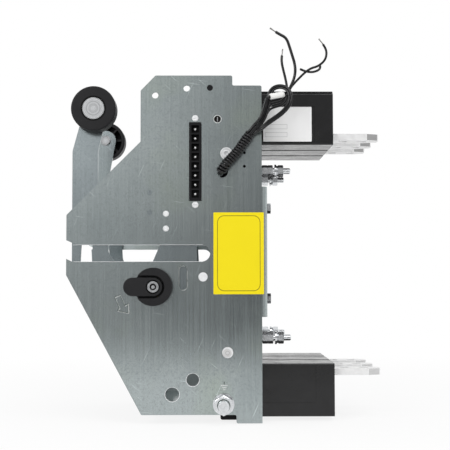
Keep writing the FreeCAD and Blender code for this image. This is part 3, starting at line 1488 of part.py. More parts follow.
ROUTES = {
    "wire_bundle": [
        (-47.5, -75.2, 113.0),
        (-47.5, -75.2, 104.0),
        (-46.6, -75.2, 95.0),
        (-44.9, -75.4, 86.3),
        (-43.3, -76.2, 78.6),
        (-42.5, -79.6, 73.4),
        (-42.3, -85.0, 71.6),
        (-42.0, -88.9, 73.6),
        (-40.0, -90.6, 76.4),
    ],
    "wire_wrap": [
        (-40.0, -90.6, 76.4),
        (-38.0, -92.3, 79.2),
        (-34.2, -92.0, 83.2),
        (-29.4, -91.6, 88.0),
        (-24.6, -91.6, 94.2),
        (-20.1, -91.7, 101.1),
        (-15.8, -91.4, 106.3),
    ],
    "wire_loop": [
        (-15.7, -93.8, 106.4),
        (-13.6, -93.7, 108.9),
        (-10.6, -94.6, 112.3),
        (-6.7, -96.8, 117.2),
        (-3.9, -96.8, 123.6),
        (-2.3, -96.8, 130.1),
        (-1.4, -96.8, 136.5),
        (1.1, -96.8, 142.0),
        (5.5, -96.8, 145.7),
        (11.3, -96.8, 147.1),
        (16.7, -96.8, 144.8),
        (19.5, -96.8, 139.7),
        (19.0, -96.8, 133.3),
        (15.4, -96.8, 127.6),
        (9.9, -96.8, 122.5),
        (3.9, -96.8, 118.3),
        (-1.6, -96.3, 114.1),
        (-6.3, -95.3, 109.6),
        (-10.6, -91.9, 109.0),
        (-13.9, -92.1, 104.9),
    ],
    "wire_a": [
        (-16.8, -89.4, 107.3),
        (-14.7, -89.3, 109.8),
        (-11.7, -88.4, 113.3),
        (-6.2, -89.0, 118.3),
        (-3.1, -89.0, 124.6),
        (-0.3, -89.0, 131.3),
        (4.5, -89.0, 134.9),
        (10.4, -89.0, 135.8),
        (15.3, -89.0, 139.4),
        (17.4, -89.0, 145.3),
        (17.2, -89.0, 151.9),
        (16.0, -89.0, 158.3),
        (14.7, -89.0, 164.8),
        (13.6, -89.0, 171.0),
        (13.3, -89.0, 176.7),
        (13.7, -89.0, 182.1),
    ],
    "wire_b": [
        (-17.5, -92.1, 107.9),
        (-15.4, -92.0, 110.4),
        (-12.5, -92.2, 113.9),
        (-8.0, -92.9, 118.9),
        (-4.9, -92.9, 125.1),
        (-2.6, -92.9, 131.7),
        (-1.1, -92.9, 136.0),
        (0.1, -92.9, 139.3),
        (16.2, -92.9, 142.7),
        (18.4, -92.9, 145.5),
        (20.5, -92.9, 150.4),
        (21.7, -92.9, 156.6),
        (22.6, -92.9, 163.2),
        (22.4, -92.9, 170.7),
        (21.2, -92.9, 177.8),
        (18.9, -92.9, 184.6),
        (15.2, -92.9, 190.4),
        (10.0, -92.9, 195.6),
        (3.4, -92.9, 200.7),
    ],
    "wire_c": [
        (-14.6, -89.4, 105.5),
        (-12.5, -89.3, 108.0),
        (-9.3, -87.4, 111.3),
        (-4.2, -86.2, 117.5),
        (-1.2, -86.2, 123.8),
        (1.8, -86.2, 130.2),
        (7.4, -86.2, 132.2),
        (13.5, -86.2, 133.6),
        (18.1, -86.2, 138.3),
        (20.3, -86.2, 144.7),
        (23.2, -86.2, 151.0),
        (27.6, -86.2, 156.7),
        (32.8, -86.2, 161.9),
        (38.7, -86.2, 166.1),
        (45.0, -86.2, 169.3),
        (49.7, -86.2, 173.9),
        (51.7, -86.2, 180.2),
        (50.8, -86.2, 186.1),
        (47.7, -86.2, 191.3),
    ],
}
ROUTE_RADII = {"wire_bundle": d.bundle_radius, "wire_wrap": d.wrap_radius}


def wire_sleeve(start, end):
    """White sleeve round the middle of a straight stretch of wire."""
    run = V(*end) - V(*start)
    run.normalize()
    length = d.sleeve_length.number
    foot = (V(*start) + V(*end)) * 0.5 - run * (length / 2)
    outer = Part.makeCylinder(d.sleeve_radius.number, length, foot, run)
    bore = Part.makeCylinder((d.wire_radius + d.sleeve_gap).number, length, foot, run)
    sleeve = doc.addObject("Part::Feature", "wire_sleeve_tube")
    sleeve.Shape = outer.cut(bore)
    node(sleeve, "wire_sleeve")


def wires():
    """The bundle from the switch, its winding, the loop round the loose wires and their ends."""
    for label, points in ROUTES.items():
        cord(label, ROUTE_RADII.get(label, d.wire_radius), points)
    wire_sleeve(*ROUTES["wire_b"][7:9])


# The whole cradle

for place, side in SIDES:
    side_plate(place, side)
    guide_block(place, side)
    lever(place, side)
    roller(place, side)
    roller_axle(place, side)
rear_cross_plate()
bottom_plate()
for level, side in LEVELS:
    contact_base(level, side)
    for place, pole in POLES:
        terminal_housing(level, side, place, pole)
        terminal_bar(level, side, place, pole)
        jaw(level, side, place, pole)
jaw_springs()
rear_studs()
flange_bolts()
side_screws()
side_bosses()
earth_bolt()
guide_rivets()
pivot_pins()
lock_handle()
lock_screw()
lock_shaft()
side_connector()
position_switch()
switch_screw()
wires()
doc.recompute()

# Checks and files

for thing in doc.Objects:
    if "Invalid" in thing.State or "Error" in thing.State:
        raise RuntimeError("%s failed: %s" % (thing.Label, thing.State))
os.makedirs("parts", exist_ok=True)
for piece in nodes:
    shape = piece.Shape
    if shape.isNull() or not shape.isValid() or not shape.Solids:
        raise RuntimeError("%s has no valid solid" % piece.Label)
    shape.exportStep("parts/%s.step" % piece.Label)
print("%d nodes, %d solids" % (len(nodes), sum(len(piece.Shape.Solids) for piece in nodes)))
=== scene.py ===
# Looks of a draw-out cradle for a moulded case circuit breaker.

import json
import math

import bpy
import bmesh
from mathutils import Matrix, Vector


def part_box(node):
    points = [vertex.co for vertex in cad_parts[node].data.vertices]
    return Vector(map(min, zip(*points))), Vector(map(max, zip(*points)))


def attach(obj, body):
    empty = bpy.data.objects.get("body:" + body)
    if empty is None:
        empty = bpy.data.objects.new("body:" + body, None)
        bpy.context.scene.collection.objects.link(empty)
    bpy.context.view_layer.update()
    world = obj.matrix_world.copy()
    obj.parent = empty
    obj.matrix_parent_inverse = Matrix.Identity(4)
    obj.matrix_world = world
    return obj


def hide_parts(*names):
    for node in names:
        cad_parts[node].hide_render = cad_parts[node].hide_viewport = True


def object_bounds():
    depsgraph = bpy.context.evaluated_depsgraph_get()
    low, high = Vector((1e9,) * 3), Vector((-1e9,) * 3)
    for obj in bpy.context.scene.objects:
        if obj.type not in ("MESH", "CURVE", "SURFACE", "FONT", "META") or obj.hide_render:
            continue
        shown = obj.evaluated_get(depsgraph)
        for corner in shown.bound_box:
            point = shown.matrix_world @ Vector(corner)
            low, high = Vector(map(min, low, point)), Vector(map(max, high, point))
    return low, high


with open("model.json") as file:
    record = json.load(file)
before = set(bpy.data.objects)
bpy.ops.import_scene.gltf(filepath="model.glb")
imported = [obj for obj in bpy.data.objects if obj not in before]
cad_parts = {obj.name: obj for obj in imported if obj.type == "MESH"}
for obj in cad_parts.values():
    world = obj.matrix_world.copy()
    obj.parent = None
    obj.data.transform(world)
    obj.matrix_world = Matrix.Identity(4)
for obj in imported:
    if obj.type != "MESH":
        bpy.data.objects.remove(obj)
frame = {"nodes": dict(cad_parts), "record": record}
cad_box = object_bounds()
scene = bpy.context.scene
scene.view_settings.view_transform = "Standard"

MM = 0.001
# From the flanges' rear faces to the control panel, where the frame's X begins
PANEL_GAP = 7.0


def at(x, y, z):
    """A place of the drawing as metres of the frame. The drawing's x counts from the flanges' rear faces."""
    return Vector(((x - PANEL_GAP) * MM, y * MM, z * MM))


def middle_of(node):
    """Middle of a node's box, in the drawing's millimetres."""
    low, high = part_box(node)
    x, y, z = (low + high) / 2 / MM
    return x + PANEL_GAP, y, z


# Node helpers

RANGE_SOCKETS = ("From Min", "From Max", "To Min", "To Max")
# Numbers of a mix node's two inputs and of its output, for each kind of value
MIX_SOCKETS = {"FLOAT": (2, 3, 0), "RGBA": (6, 7, 2)}


def feed(tree, value, socket):
    """Gives an input a number or a colour, or joins it to another node's output."""
    if isinstance(value, bpy.types.NodeSocket):
        tree.links.new(value, socket)
    elif isinstance(value, tuple):
        socket.default_value = (*value, 1)
    else:
        socket.default_value = value


def joined(tree, operation, first, second):
    """Result of one arithmetic operation on two values."""
    node = tree.nodes.new("ShaderNodeMath")
    node.operation = operation
    feed(tree, first, node.inputs[0])
    feed(tree, second, node.inputs[1])
    return node.outputs[0]


def mixed(tree, kind, amount, first, second):
    """The first value where the amount is nought, the second where it is one."""
    node = tree.nodes.new("ShaderNodeMix")
    node.data_type = kind
    low, high, result = MIX_SOCKETS[kind]
    feed(tree, amount, node.inputs[0])
    feed(tree, first, node.inputs[low])
    feed(tree, second, node.inputs[high])
    return node.outputs[result]


def ramp_of(tree, value, before, after=(0.0, 1.0), kind="LINEAR"):
    """Value carried from one range to another, and held at its ends."""
    node = tree.nodes.new("ShaderNodeMapRange")
    node.interpolation_type = kind
    for socket, number in zip(RANGE_SOCKETS, (*before, *after)):
        node.inputs[socket].default_value = number
    tree.links.new(value, node.inputs["Value"])
    return node.outputs[0]


def seen_rays(tree, light_path):
    """One where a camera or transmission ray arrives, and nought elsewhere."""
    camera, through = (light_path.outputs[name] for name in ("Is Camera Ray", "Is Transmission Ray"))
    return joined(tree, "MAXIMUM", camera, through)


# Camera, light and background

# The photograph's focal length and width are in its pixels, the camera's place in the drawing's millimetres
SENSOR_WIDTH = 36.0
PHOTO_FOCAL = 1008.7
PHOTO_WIDTH = 450.0
CAMERA_PLACE = (-46.73, -990.6, -20.3)
CAMERA_PITCH = math.radians(2.88)
CAMERA_YAW = math.radians(0.53)
CAMERA_ROLL = math.radians(0.07)


def make_camera():
    """Camera square on the near side plate, a little below its middle and tilted up."""
    data = bpy.data.cameras.new("camera")
    data.sensor_width = SENSOR_WIDTH
    data.lens = PHOTO_FOCAL / PHOTO_WIDTH * SENSOR_WIDTH
    camera = bpy.data.objects.new("camera", data)
    scene.collection.objects.link(camera)
    camera.location = at(*CAMERA_PLACE)
    camera.rotation_mode = "XYZ"
    camera.rotation_euler = (math.radians(90) + CAMERA_PITCH, CAMERA_ROLL, -CAMERA_YAW)
    scene.camera = camera


# Strength of the room that glossy rays meet: in front, added to the left, above and to the right
ROOM_FRONT = 0.1
ROOM_LEFT = 0.54
ROOM_HIGH = 0.34
ROOM_RIGHT = 0.4
# Stretch of the ray's direction over which each of them comes in, from nought to full
BEHIND_STRETCH = (-0.96, 0.1)
LEFT_STRETCH = (0.03, -0.1)
HIGH_STRETCH = (0.03, 0.14)
RIGHT_STRETCH = (0.1, 0.5)
# The left of the room keeps this share of its strength below the level stretch
LEVEL_STRETCH = (-0.07, 0.03)
LOW_SHARE = 0.3
# Strength of the light that matt surfaces get from all around
MATT_LIGHT = 0.74


def make_world():
    """White for the camera, and for reflections white behind the part and a dim room before it."""
    world = bpy.data.worlds.new("studio")
    scene.world = world
    world.use_nodes = True
    tree = world.node_tree
    light_path = tree.nodes.new("ShaderNodeLightPath")
    place = tree.nodes.new("ShaderNodeTexCoord")
    split = tree.nodes.new("ShaderNodeSeparateXYZ")
    tree.links.new(place.outputs["Generated"], split.inputs[0])

    def wall(axis, stretch, strengths=(0.0, 1.0)):
        """Part of the room that comes in along one axis of the ray's direction."""
        return ramp_of(tree, split.outputs[axis], stretch, strengths, "SMOOTHSTEP")

    left = joined(tree, "MULTIPLY", wall("X", LEFT_STRETCH), wall("Z", LEVEL_STRETCH, (LOW_SHARE, 1.0)))
    left = joined(tree, "MULTIPLY", left, ROOM_LEFT)
    high = wall("Z", HIGH_STRETCH, (ROOM_FRONT, ROOM_FRONT + ROOM_HIGH))
    right = wall("X", RIGHT_STRETCH, (0.0, ROOM_RIGHT))
    room = joined(tree, "ADD", joined(tree, "ADD", high, left), right)
    mirrored = joined(tree, "MAXIMUM", room, wall("Y", BEHIND_STRETCH))
    light = mixed(tree, "FLOAT", light_path.outputs["Is Glossy Ray"], MATT_LIGHT, mirrored)
    shown = mixed(tree, "FLOAT", seen_rays(tree, light_path), light, 1.0)
    background = tree.nodes["Background"]
    tree.links.new(shown, background.inputs["Strength"])
    background.inputs["Color"].default_value = (1, 1, 1, 1)


# Floor, in metres: its gap under the part, its near edge, how far its other edges lie, and the distances
# from the part between which it turns white
FLOOR_GAP = 0.0008
FLOOR_FRONT = -0.87
FLOOR_REACH = 3.0
FLOOR_FADE = (0.2, 0.75)
FLOOR_WHITE_NEAR = 0.84


def floor_material():
    """White for seen and mirrored rays, with some of the plain shaded floor near the part."""
    material = bpy.data.materials.new("floor_white")
    material.use_nodes = True
    tree = material.node_tree
    shader = tree.nodes["Principled BSDF"]
    shader.inputs["Base Color"].default_value = (0.9, 0.9, 0.9, 1)
    shader.inputs["Roughness"].default_value = 0.9
    light_path = tree.nodes.new("ShaderNodeLightPath")
    white_rays = joined(tree, "MAXIMUM", seen_rays(tree, light_path), light_path.outputs["Is Glossy Ray"])
    place = tree.nodes.new("ShaderNodeTexCoord")
    distance = tree.nodes.new("ShaderNodeVectorMath")
    distance.operation = "LENGTH"
    tree.links.new(place.outputs["Object"], distance.inputs[0])
    fade = ramp_of(tree, distance.outputs["Value"], FLOOR_FADE, (FLOOR_WHITE_NEAR, 1.0))
    white = tree.nodes.new("ShaderNodeEmission")
    mix = tree.nodes.new("ShaderNodeMixShader")
    tree.links.new(joined(tree, "MULTIPLY", white_rays, fade), mix.inputs[0])
    tree.links.new(shader.outputs[0], mix.inputs[1])
    tree.links.new(white.outputs[0], mix.inputs[2])
    tree.links.new(mix.outputs[0], tree.nodes["Material Output"].inputs["Surface"])
    return material


def make_floor():
    """Pale floor under the feet of the side plates."""
    low = cad_box[0].z - FLOOR_GAP
    corners = [(x, y, low) for y in (FLOOR_FRONT, FLOOR_REACH) for x in (-FLOOR_REACH, FLOOR_REACH)]
    mesh = bpy.data.meshes.new("floor")
    mesh.from_pydata(corners, [], [(0, 1, 3, 2)])
    floor = bpy.data.objects.new("floor", mesh)
    scene.collection.objects.link(floor)
    mesh.materials.append(floor_material())


def make_lamp(name, place, aim, size, power):
    """A soft box that points at a place."""
    data = bpy.data.lights.new(name, "AREA")
    data.shape = "RECTANGLE"
    data.size, data.size_y = size
    data.energy = power
    lamp = bpy.data.objects.new(name, data)
    scene.collection.objects.link(lamp)
    lamp.location = place
    lamp.rotation_mode = "QUATERNION"
    lamp.rotation_quaternion = (Vector(aim) - Vector(place)).to_track_quat("-Z", "Y")


make_camera()
make_world()
make_floor()
make_lamp("key", place=(-0.8, -1.15, 0.5), aim=(-0.08, 0, 0.03), size=(0.55, 0.55), power=5.2)
make_lamp("fill", place=(0.4, -0.95, 1.1), aim=(0, 0, 0), size=(0.9, 0.7), power=6)


# Materials


def scaled(colour, factor, lift=0.0):
    """A colour made darker or lighter."""
    return tuple(value * factor + lift for value in colour)


class Shader:
    """A material that starts plain, and whose nodes are added one at a time."""

    def __init__(self, name, colour, roughness, metallic=0.0):
        self.material = bpy.data.materials.new(name)
        self.material.use_nodes = True
        self.tree = self.material.node_tree
        self.surface = self.tree.nodes["Principled BSDF"]
        self.surface.inputs["Base Color"].default_value = (*colour, 1)
        self.surface.inputs["Roughness"].default_value = roughness
        self.surface.inputs["Metallic"].default_value = metallic
        self.place = self.add("ShaderNodeTexCoord").outputs["Object"]

    def add(self, kind, **settings):
        """New node with its settings."""
        node = self.tree.nodes.new(kind)
        for key, value in settings.items():
            setattr(node, key, value)
        return node

    def join(self, output, target):
        """Link from an output to an input."""
        self.tree.links.new(output, target)

    def stretched(self, scale, turn=0.0):
        """Coordinates turned about Y by degrees and then stretched, for grain that runs one way."""
        mapping = self.add("ShaderNodeMapping", vector_type="TEXTURE")
        mapping.inputs["Scale"].default_value = [1 / value for value in scale]
        mapping.inputs["Rotation"].default_value = (0, math.radians(turn), 0)
        self.join(self.place, mapping.inputs["Vector"])
        return mapping.outputs[0]

    def noise(self, scale, detail=2.0, rough=0.5, along=None):
        """Cloudy value from 0 to 1, with about so many clouds to a metre as the scale says."""
        node = self.add("ShaderNodeTexNoise")
        node.inputs["Scale"].default_value = scale
        node.inputs["Detail"].default_value = detail
        node.inputs["Roughness"].default_value = rough
        self.join(along or self.place, node.inputs["Vector"])
        return node.outputs["Fac"]

    def scratches(self, scale, turn):
        """Thin straight marks of chance length, each the narrow core of one stretched cell."""
        cells = self.add("ShaderNodeTexVoronoi", feature="F1")
        cells.inputs["Scale"].default_value = 1.0
        self.join(self.stretched(scale, turn), cells.inputs["Vector"])
        return self.spread(cells.outputs["Distance"], (0.03, 0.09), (1.0, 0.0))

    def spread(self, value, before, after=(0.0, 1.0)):
        """Value stretched from one range to another, and held at its ends."""
        return ramp_of(self.tree, value, before, after)

    def product(self, first, second):
        """One value times another."""
        return joined(self.tree, "MULTIPLY", first, second)

    def total(self, first, second):
        """One value plus another."""
        return joined(self.tree, "ADD", first, second)

    def blend(self, amount, first, second):
        """Mix of two colours, each a colour or a socket."""
        return mixed(self.tree, "RGBA", amount, first, second)

    def colour(self, output):
        """Sets the base colour."""
        self.join(output, self.surface.inputs["Base Color"])

    def roughness(self, output):
        """Sets the roughness."""
        self.join(output, self.surface.inputs["Roughness"])

    def specular(self, level):
        """Sets the strength of the plain, uncoloured reflection."""
        self.surface.inputs["Specular IOR Level"].default_value = level

    def bump(self, height, strength, distance):
        """Sets a fine relief from a value, its greatest height in metres."""
        node = self.add("ShaderNodeBump")
        node.inputs["Strength"].default_value = strength
        node.inputs["Distance"].default_value = distance
        self.join(height, node.inputs["Height"])
        self.join(node.outputs[0], self.surface.inputs["Normal"])


# Cells to a metre along X, Y and Z of each kind of scratch, and its turn about Y in degrees
SCRATCHES = (((420.0, 6.0, 9.0), 24), ((11.0, 6.0, 430.0), 8), ((520.0, 6.0, 15.0), -49))


def zinc(name, dark, light, tint, grain, polish=(0.14, 0.24), metallic=0.93):
    """Zinc plated and passivated sheet: clouds, rolling lines, speckle, scratches and a greenish bloom."""
    shader = Shader(name, light, 0.4, metallic)
    clouds = shader.noise(9.0, detail=4.0, rough=0.6)
    base = shader.blend(shader.spread(clouds, (0.3, 0.7)), dark, light)
    bloom = shader.noise(16.0, detail=3.0)
    base = shader.blend(shader.spread(bloom, (0.52, 0.74), (0.0, 0.6)), base, tint)
    lines = shader.noise(1.0, detail=3.0, rough=0.65, along=shader.stretched(grain))
    base = shader.blend(shader.spread(lines, (0.3, 0.7), (0.0, 0.22)), base, scaled(light, 1.5))
    speckle = shader.noise(620.0, detail=3.0, rough=0.65)
    base = shader.blend(shader.spread(speckle, (0.52, 0.74), (0.0, 0.5)), base, scaled(dark, 0.72))
    marks = 0.0
    for scale, turn in SCRATCHES:
        marks = shader.total(marks, shader.scratches(scale, turn))
    worn = shader.spread(shader.noise(11.0), (0.4, 0.62), (0.25, 0.8))
    base = shader.blend(shader.product(marks, worn), base, scaled(light, 2.2))
    shader.colour(base)
    shader.roughness(shader.spread(shader.total(lines, speckle), (0.6, 1.4), polish))
    shader.bump(shader.total(lines, shader.product(speckle, 0.6)), strength=0.16, distance=0.0001)
    return shader.material


def bright_metal(name, colour, roughness, scale, metallic=1.0, wear=0.78):
    """Plated or turned metal with a fine uneven polish."""
    shader = Shader(name, colour, roughness, metallic)
    worn = shader.noise(scale, detail=4.0, rough=0.6)
    shader.colour(shader.blend(shader.spread(worn, (0.35, 0.7)), scaled(colour, wear), colour))
    shader.roughness(shader.spread(worn, (0.3, 0.7), (roughness * 0.75, roughness * 1.35)))
    shader.bump(shader.noise(scale * 6), strength=0.08, distance=0.00006)
    return shader.material


def turned(name, colour, centre, pitch):
    """Metal with the rings that a lathe leaves on an end face round a centre, along Y."""
    shader = Shader(name, colour, 0.3, 1.0)
    shift = shader.add("ShaderNodeMapping")
    shift.inputs["Location"].default_value = (-centre.x, 0, -centre.z)
    shift.inputs["Scale"].default_value = (1, 0, 1)
    shader.join(shader.place, shift.inputs["Vector"])
    length = shader.add("ShaderNodeVectorMath", operation="LENGTH")
    shader.join(shift.outputs[0], length.inputs[0])
    rings = shader.add("ShaderNodeTexNoise", noise_dimensions="1D")
    rings.inputs["Scale"].default_value = 1.0
    rings.inputs["Detail"].default_value = 2.0
    shader.join(shader.product(length.outputs["Value"], 1.0 / pitch), rings.inputs["W"])
    value = rings.outputs["Fac"]
    shader.colour(shader.blend(shader.spread(value, (0.3, 0.7)), scaled(colour, 0.5), colour))
    shader.roughness(shader.spread(value, (0.3, 0.7), (0.42, 0.56)))
    shader.bump(value, strength=0.3, distance=0.0001)
    return shader.material


def plastic(name, colour, roughness, grain=1600.0, specular=0.16):
    """Moulded plastic with a fine eroded texture and faint dust."""
    shader = Shader(name, colour, roughness)
    shader.specular(specular)
    dust = shader.spread(shader.noise(45.0, detail=5.0, rough=0.65), (0.45, 0.8), (0.0, 0.5))
    shader.colour(shader.blend(dust, colour, scaled(colour, 1.5, lift=0.003)))
    sheen = shader.noise(70.0, detail=4.0, rough=0.6)
    shader.roughness(shader.spread(sheen, (0.3, 0.7), (roughness - 0.06, roughness + 0.08)))
    shader.bump(shader.noise(grain, detail=3.0, rough=0.6), strength=0.12, distance=0.00008)
    return shader.material


def insulation(name, colour):
    """Satin wire insulation."""
    shader = Shader(name, colour, 0.2)
    shader.specular(0.4)
    shader.colour(shader.blend(shader.noise(160.0, detail=3.0), colour, scaled(colour, 1.6)))
    shader.roughness(shader.spread(shader.noise(240.0, detail=3.0), (0.3, 0.7), (0.13, 0.21)))
    shader.bump(shader.noise(700.0), strength=0.06, distance=0.0001)
    return shader.material


def paper(name, colour, roughness):
    """Printed film: nearly flat, with a faint fibre and gloss change."""
    shader = Shader(name, colour, roughness)
    shader.specular(0.2)
    shader.colour(shader.blend(shader.noise(30.0, detail=3.0), scaled(colour, 0.95), colour))
    gloss = shader.noise(90.0, detail=3.0)
    shader.roughness(shader.spread(gloss, (0.3, 0.7), (roughness - 0.05, roughness + 0.08)))
    shader.bump(shader.noise(420.0, detail=3.0), strength=0.05, distance=0.00005)
    return shader.material


PLATE_GRAIN = (700.0, 700.0, 9.0)
PLATE = zinc(
    "zinc_sheet",
    dark=(0.292, 0.332, 0.338),
    light=(0.408, 0.452, 0.452),
    tint=(0.36, 0.42, 0.352),
    grain=PLATE_GRAIN,
)
# The far plate is a rougher, less metallic and lighter copy of the same sheet: the rougher finish is real,
# and the lighter colour is painted light, so that its inner face seen through the near plate's holes looks
# lit
FAR_PLATE = zinc(
    "zinc_sheet_far",
    dark=(0.345, 0.385, 0.39),
    light=(0.46, 0.505, 0.505),
    tint=(0.41, 0.47, 0.4),
    grain=PLATE_GRAIN,
    polish=(0.45, 0.6),
    metallic=0.8,
)
LEVER = zinc(
    "zinc_lever",
    dark=(0.25, 0.288, 0.3),
    light=(0.356, 0.4, 0.414),
    tint=(0.315, 0.37, 0.34),
    grain=(800.0, 800.0, 14.0),
)
# Bright zinc of the fasteners, nut and threads, also the painted highlight in the lock screw's socket
BRIGHT_ZINC_AND_HIGHLIGHT = bright_metal("bright_zinc_and_painted_highlight", (0.80, 0.82, 0.84), 0.2, 420.0)
# Pale zinc of the rivets, screws and pins, also the painted highlights on the cut edges and on the boss's rim
PALE_ZINC_AND_HIGHLIGHT = bright_metal("pale_zinc_and_painted_highlight", (0.82, 0.83, 0.84), 0.38, 420.0, metallic=0.35, wear=0.9)
STRAND = bright_metal("bare_strands", (0.34, 0.33, 0.32), 0.42, 420.0)
# Turned steel, also the painted highlight at the bottom of the slotted screw's slot
TURNED_STEEL_AND_HIGHLIGHT = bright_metal("turned_steel", (0.62, 0.63, 0.64), 0.3, 300.0)
SPRING = bright_metal("spring_steel", (0.5, 0.52, 0.54), 0.28, 500.0)
TIN = bright_metal("tinned_copper", (0.88, 0.88, 0.88), 0.36, 150.0, metallic=0.45, wear=0.94)
# Grey painted shade on the cut corners of the upper terminal bars, also the boss's tool mark
GREY_SHADE_AND_MARK = bright_metal("grey_painted_shade_and_mark", (0.34, 0.34, 0.34), 0.5, 300.0, metallic=0.3, wear=0.94)
# Satin plating of the side bosses, also the lighter painted shade on the cut corners of the lower terminal
# bars
SATIN_AND_TIP_SHADE = bright_metal("satin_plating_and_painted_shade", (0.62, 0.62, 0.62), 0.5, 300.0, metallic=0.3, wear=0.94)
# Painted shade and painted highlight for pressed marks; the painted shade also rings the earth bolt
PAINTED_SHADE_GREY = bright_metal("stamp_shadow", (0.16, 0.19, 0.18), 0.5, 300.0)
PAINTED_HIGHLIGHT = bright_metal("painted_highlight_metal", (0.86, 0.88, 0.87), 0.3, 300.0)
BLACK = plastic("black_moulding", (0.006, 0.006, 0.007), 0.42)
HOUSING = plastic("housing_moulding", (0.007, 0.007, 0.0075), 0.22, grain=1300.0, specular=0.45)
ROLLER = plastic("roller_moulding", (0.012, 0.012, 0.013), 0.45, grain=900.0)
KNOB = plastic("lock_moulding", (0.013, 0.013, 0.014), 0.44, grain=1200.0)
SLEEVE = plastic("white_sleeve", (0.78, 0.78, 0.76), 0.45)
# Near black painted shade: in the lock screw's socket, at the rollers' steps, and over the slotted screw
PAINTED_SHADE_BLACK = plastic("black_painted_shade", (0.002, 0.002, 0.002), 0.7)
WIRE = insulation("wire_insulation", (0.002, 0.002, 0.0025))
YELLOW = paper("yellow_film", (0.80, 0.655, 0.004), 0.55)
BORDER = paper("dark_print", (0.16, 0.13, 0.01), 0.5)
RULE = paper("grey_print", (0.42, 0.42, 0.42), 0.5)
LABEL = paper("white_film", (0.80, 0.80, 0.80), 0.42)

FINISHES = {
    "zinc_sheet": PLATE,
    "lever_steel": LEVER,
    "turned_steel": TURNED_STEEL_AND_HIGHLIGHT,
    "fastener_steel": BRIGHT_ZINC_AND_HIGHLIGHT,
    "spring_steel": SPRING,
    "tinned_copper": TIN,
    "contact_pins": TIN,
    "black_moulding": BLACK,
    "housing_plastic": HOUSING,
    "roller_plastic": ROLLER,
    "lock_plastic": KNOB,
    "wire_black": WIRE,
    "sleeve_white": SLEEVE,
}
OWN_FINISHES = {
    # The slotted screw gets painted shade, so that it reads as a dark hole
    "switch_screw": PAINTED_SHADE_BLACK,
    "guide_rivets": PALE_ZINC_AND_HIGHLIGHT,
    "side_screws": PALE_ZINC_AND_HIGHLIGHT,
    "connector_screws": PALE_ZINC_AND_HIGHLIGHT,
    "pivot_pins": PALE_ZINC_AND_HIGHLIGHT,
    "side_bosses": SATIN_AND_TIP_SHADE,
    "side_plate_far": FAR_PLATE,
}
AXLE_COLOUR = (0.54, 0.55, 0.56)
AXLE_RING_PITCH = 0.0011


def dress_nodes():
    """Every node of the frame gets its own material, or else its slot's."""
    finishes = dict(OWN_FINISHES)
    for place in ("near", "far"):
        low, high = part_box("roller_axle_" + place)
        rings = turned("turned_axle_" + place, AXLE_COLOUR, (low + high) / 2, AXLE_RING_PITCH)
        finishes["roller_axle_" + place] = rings
    for part in frame["record"]["subparts"]:
        node = frame["nodes"][part["node"]]
        node.data.materials.clear()
        node.data.materials.append(finishes.get(part["node"], FINISHES[part["material_slot"]]))


dress_nodes()


# Wires

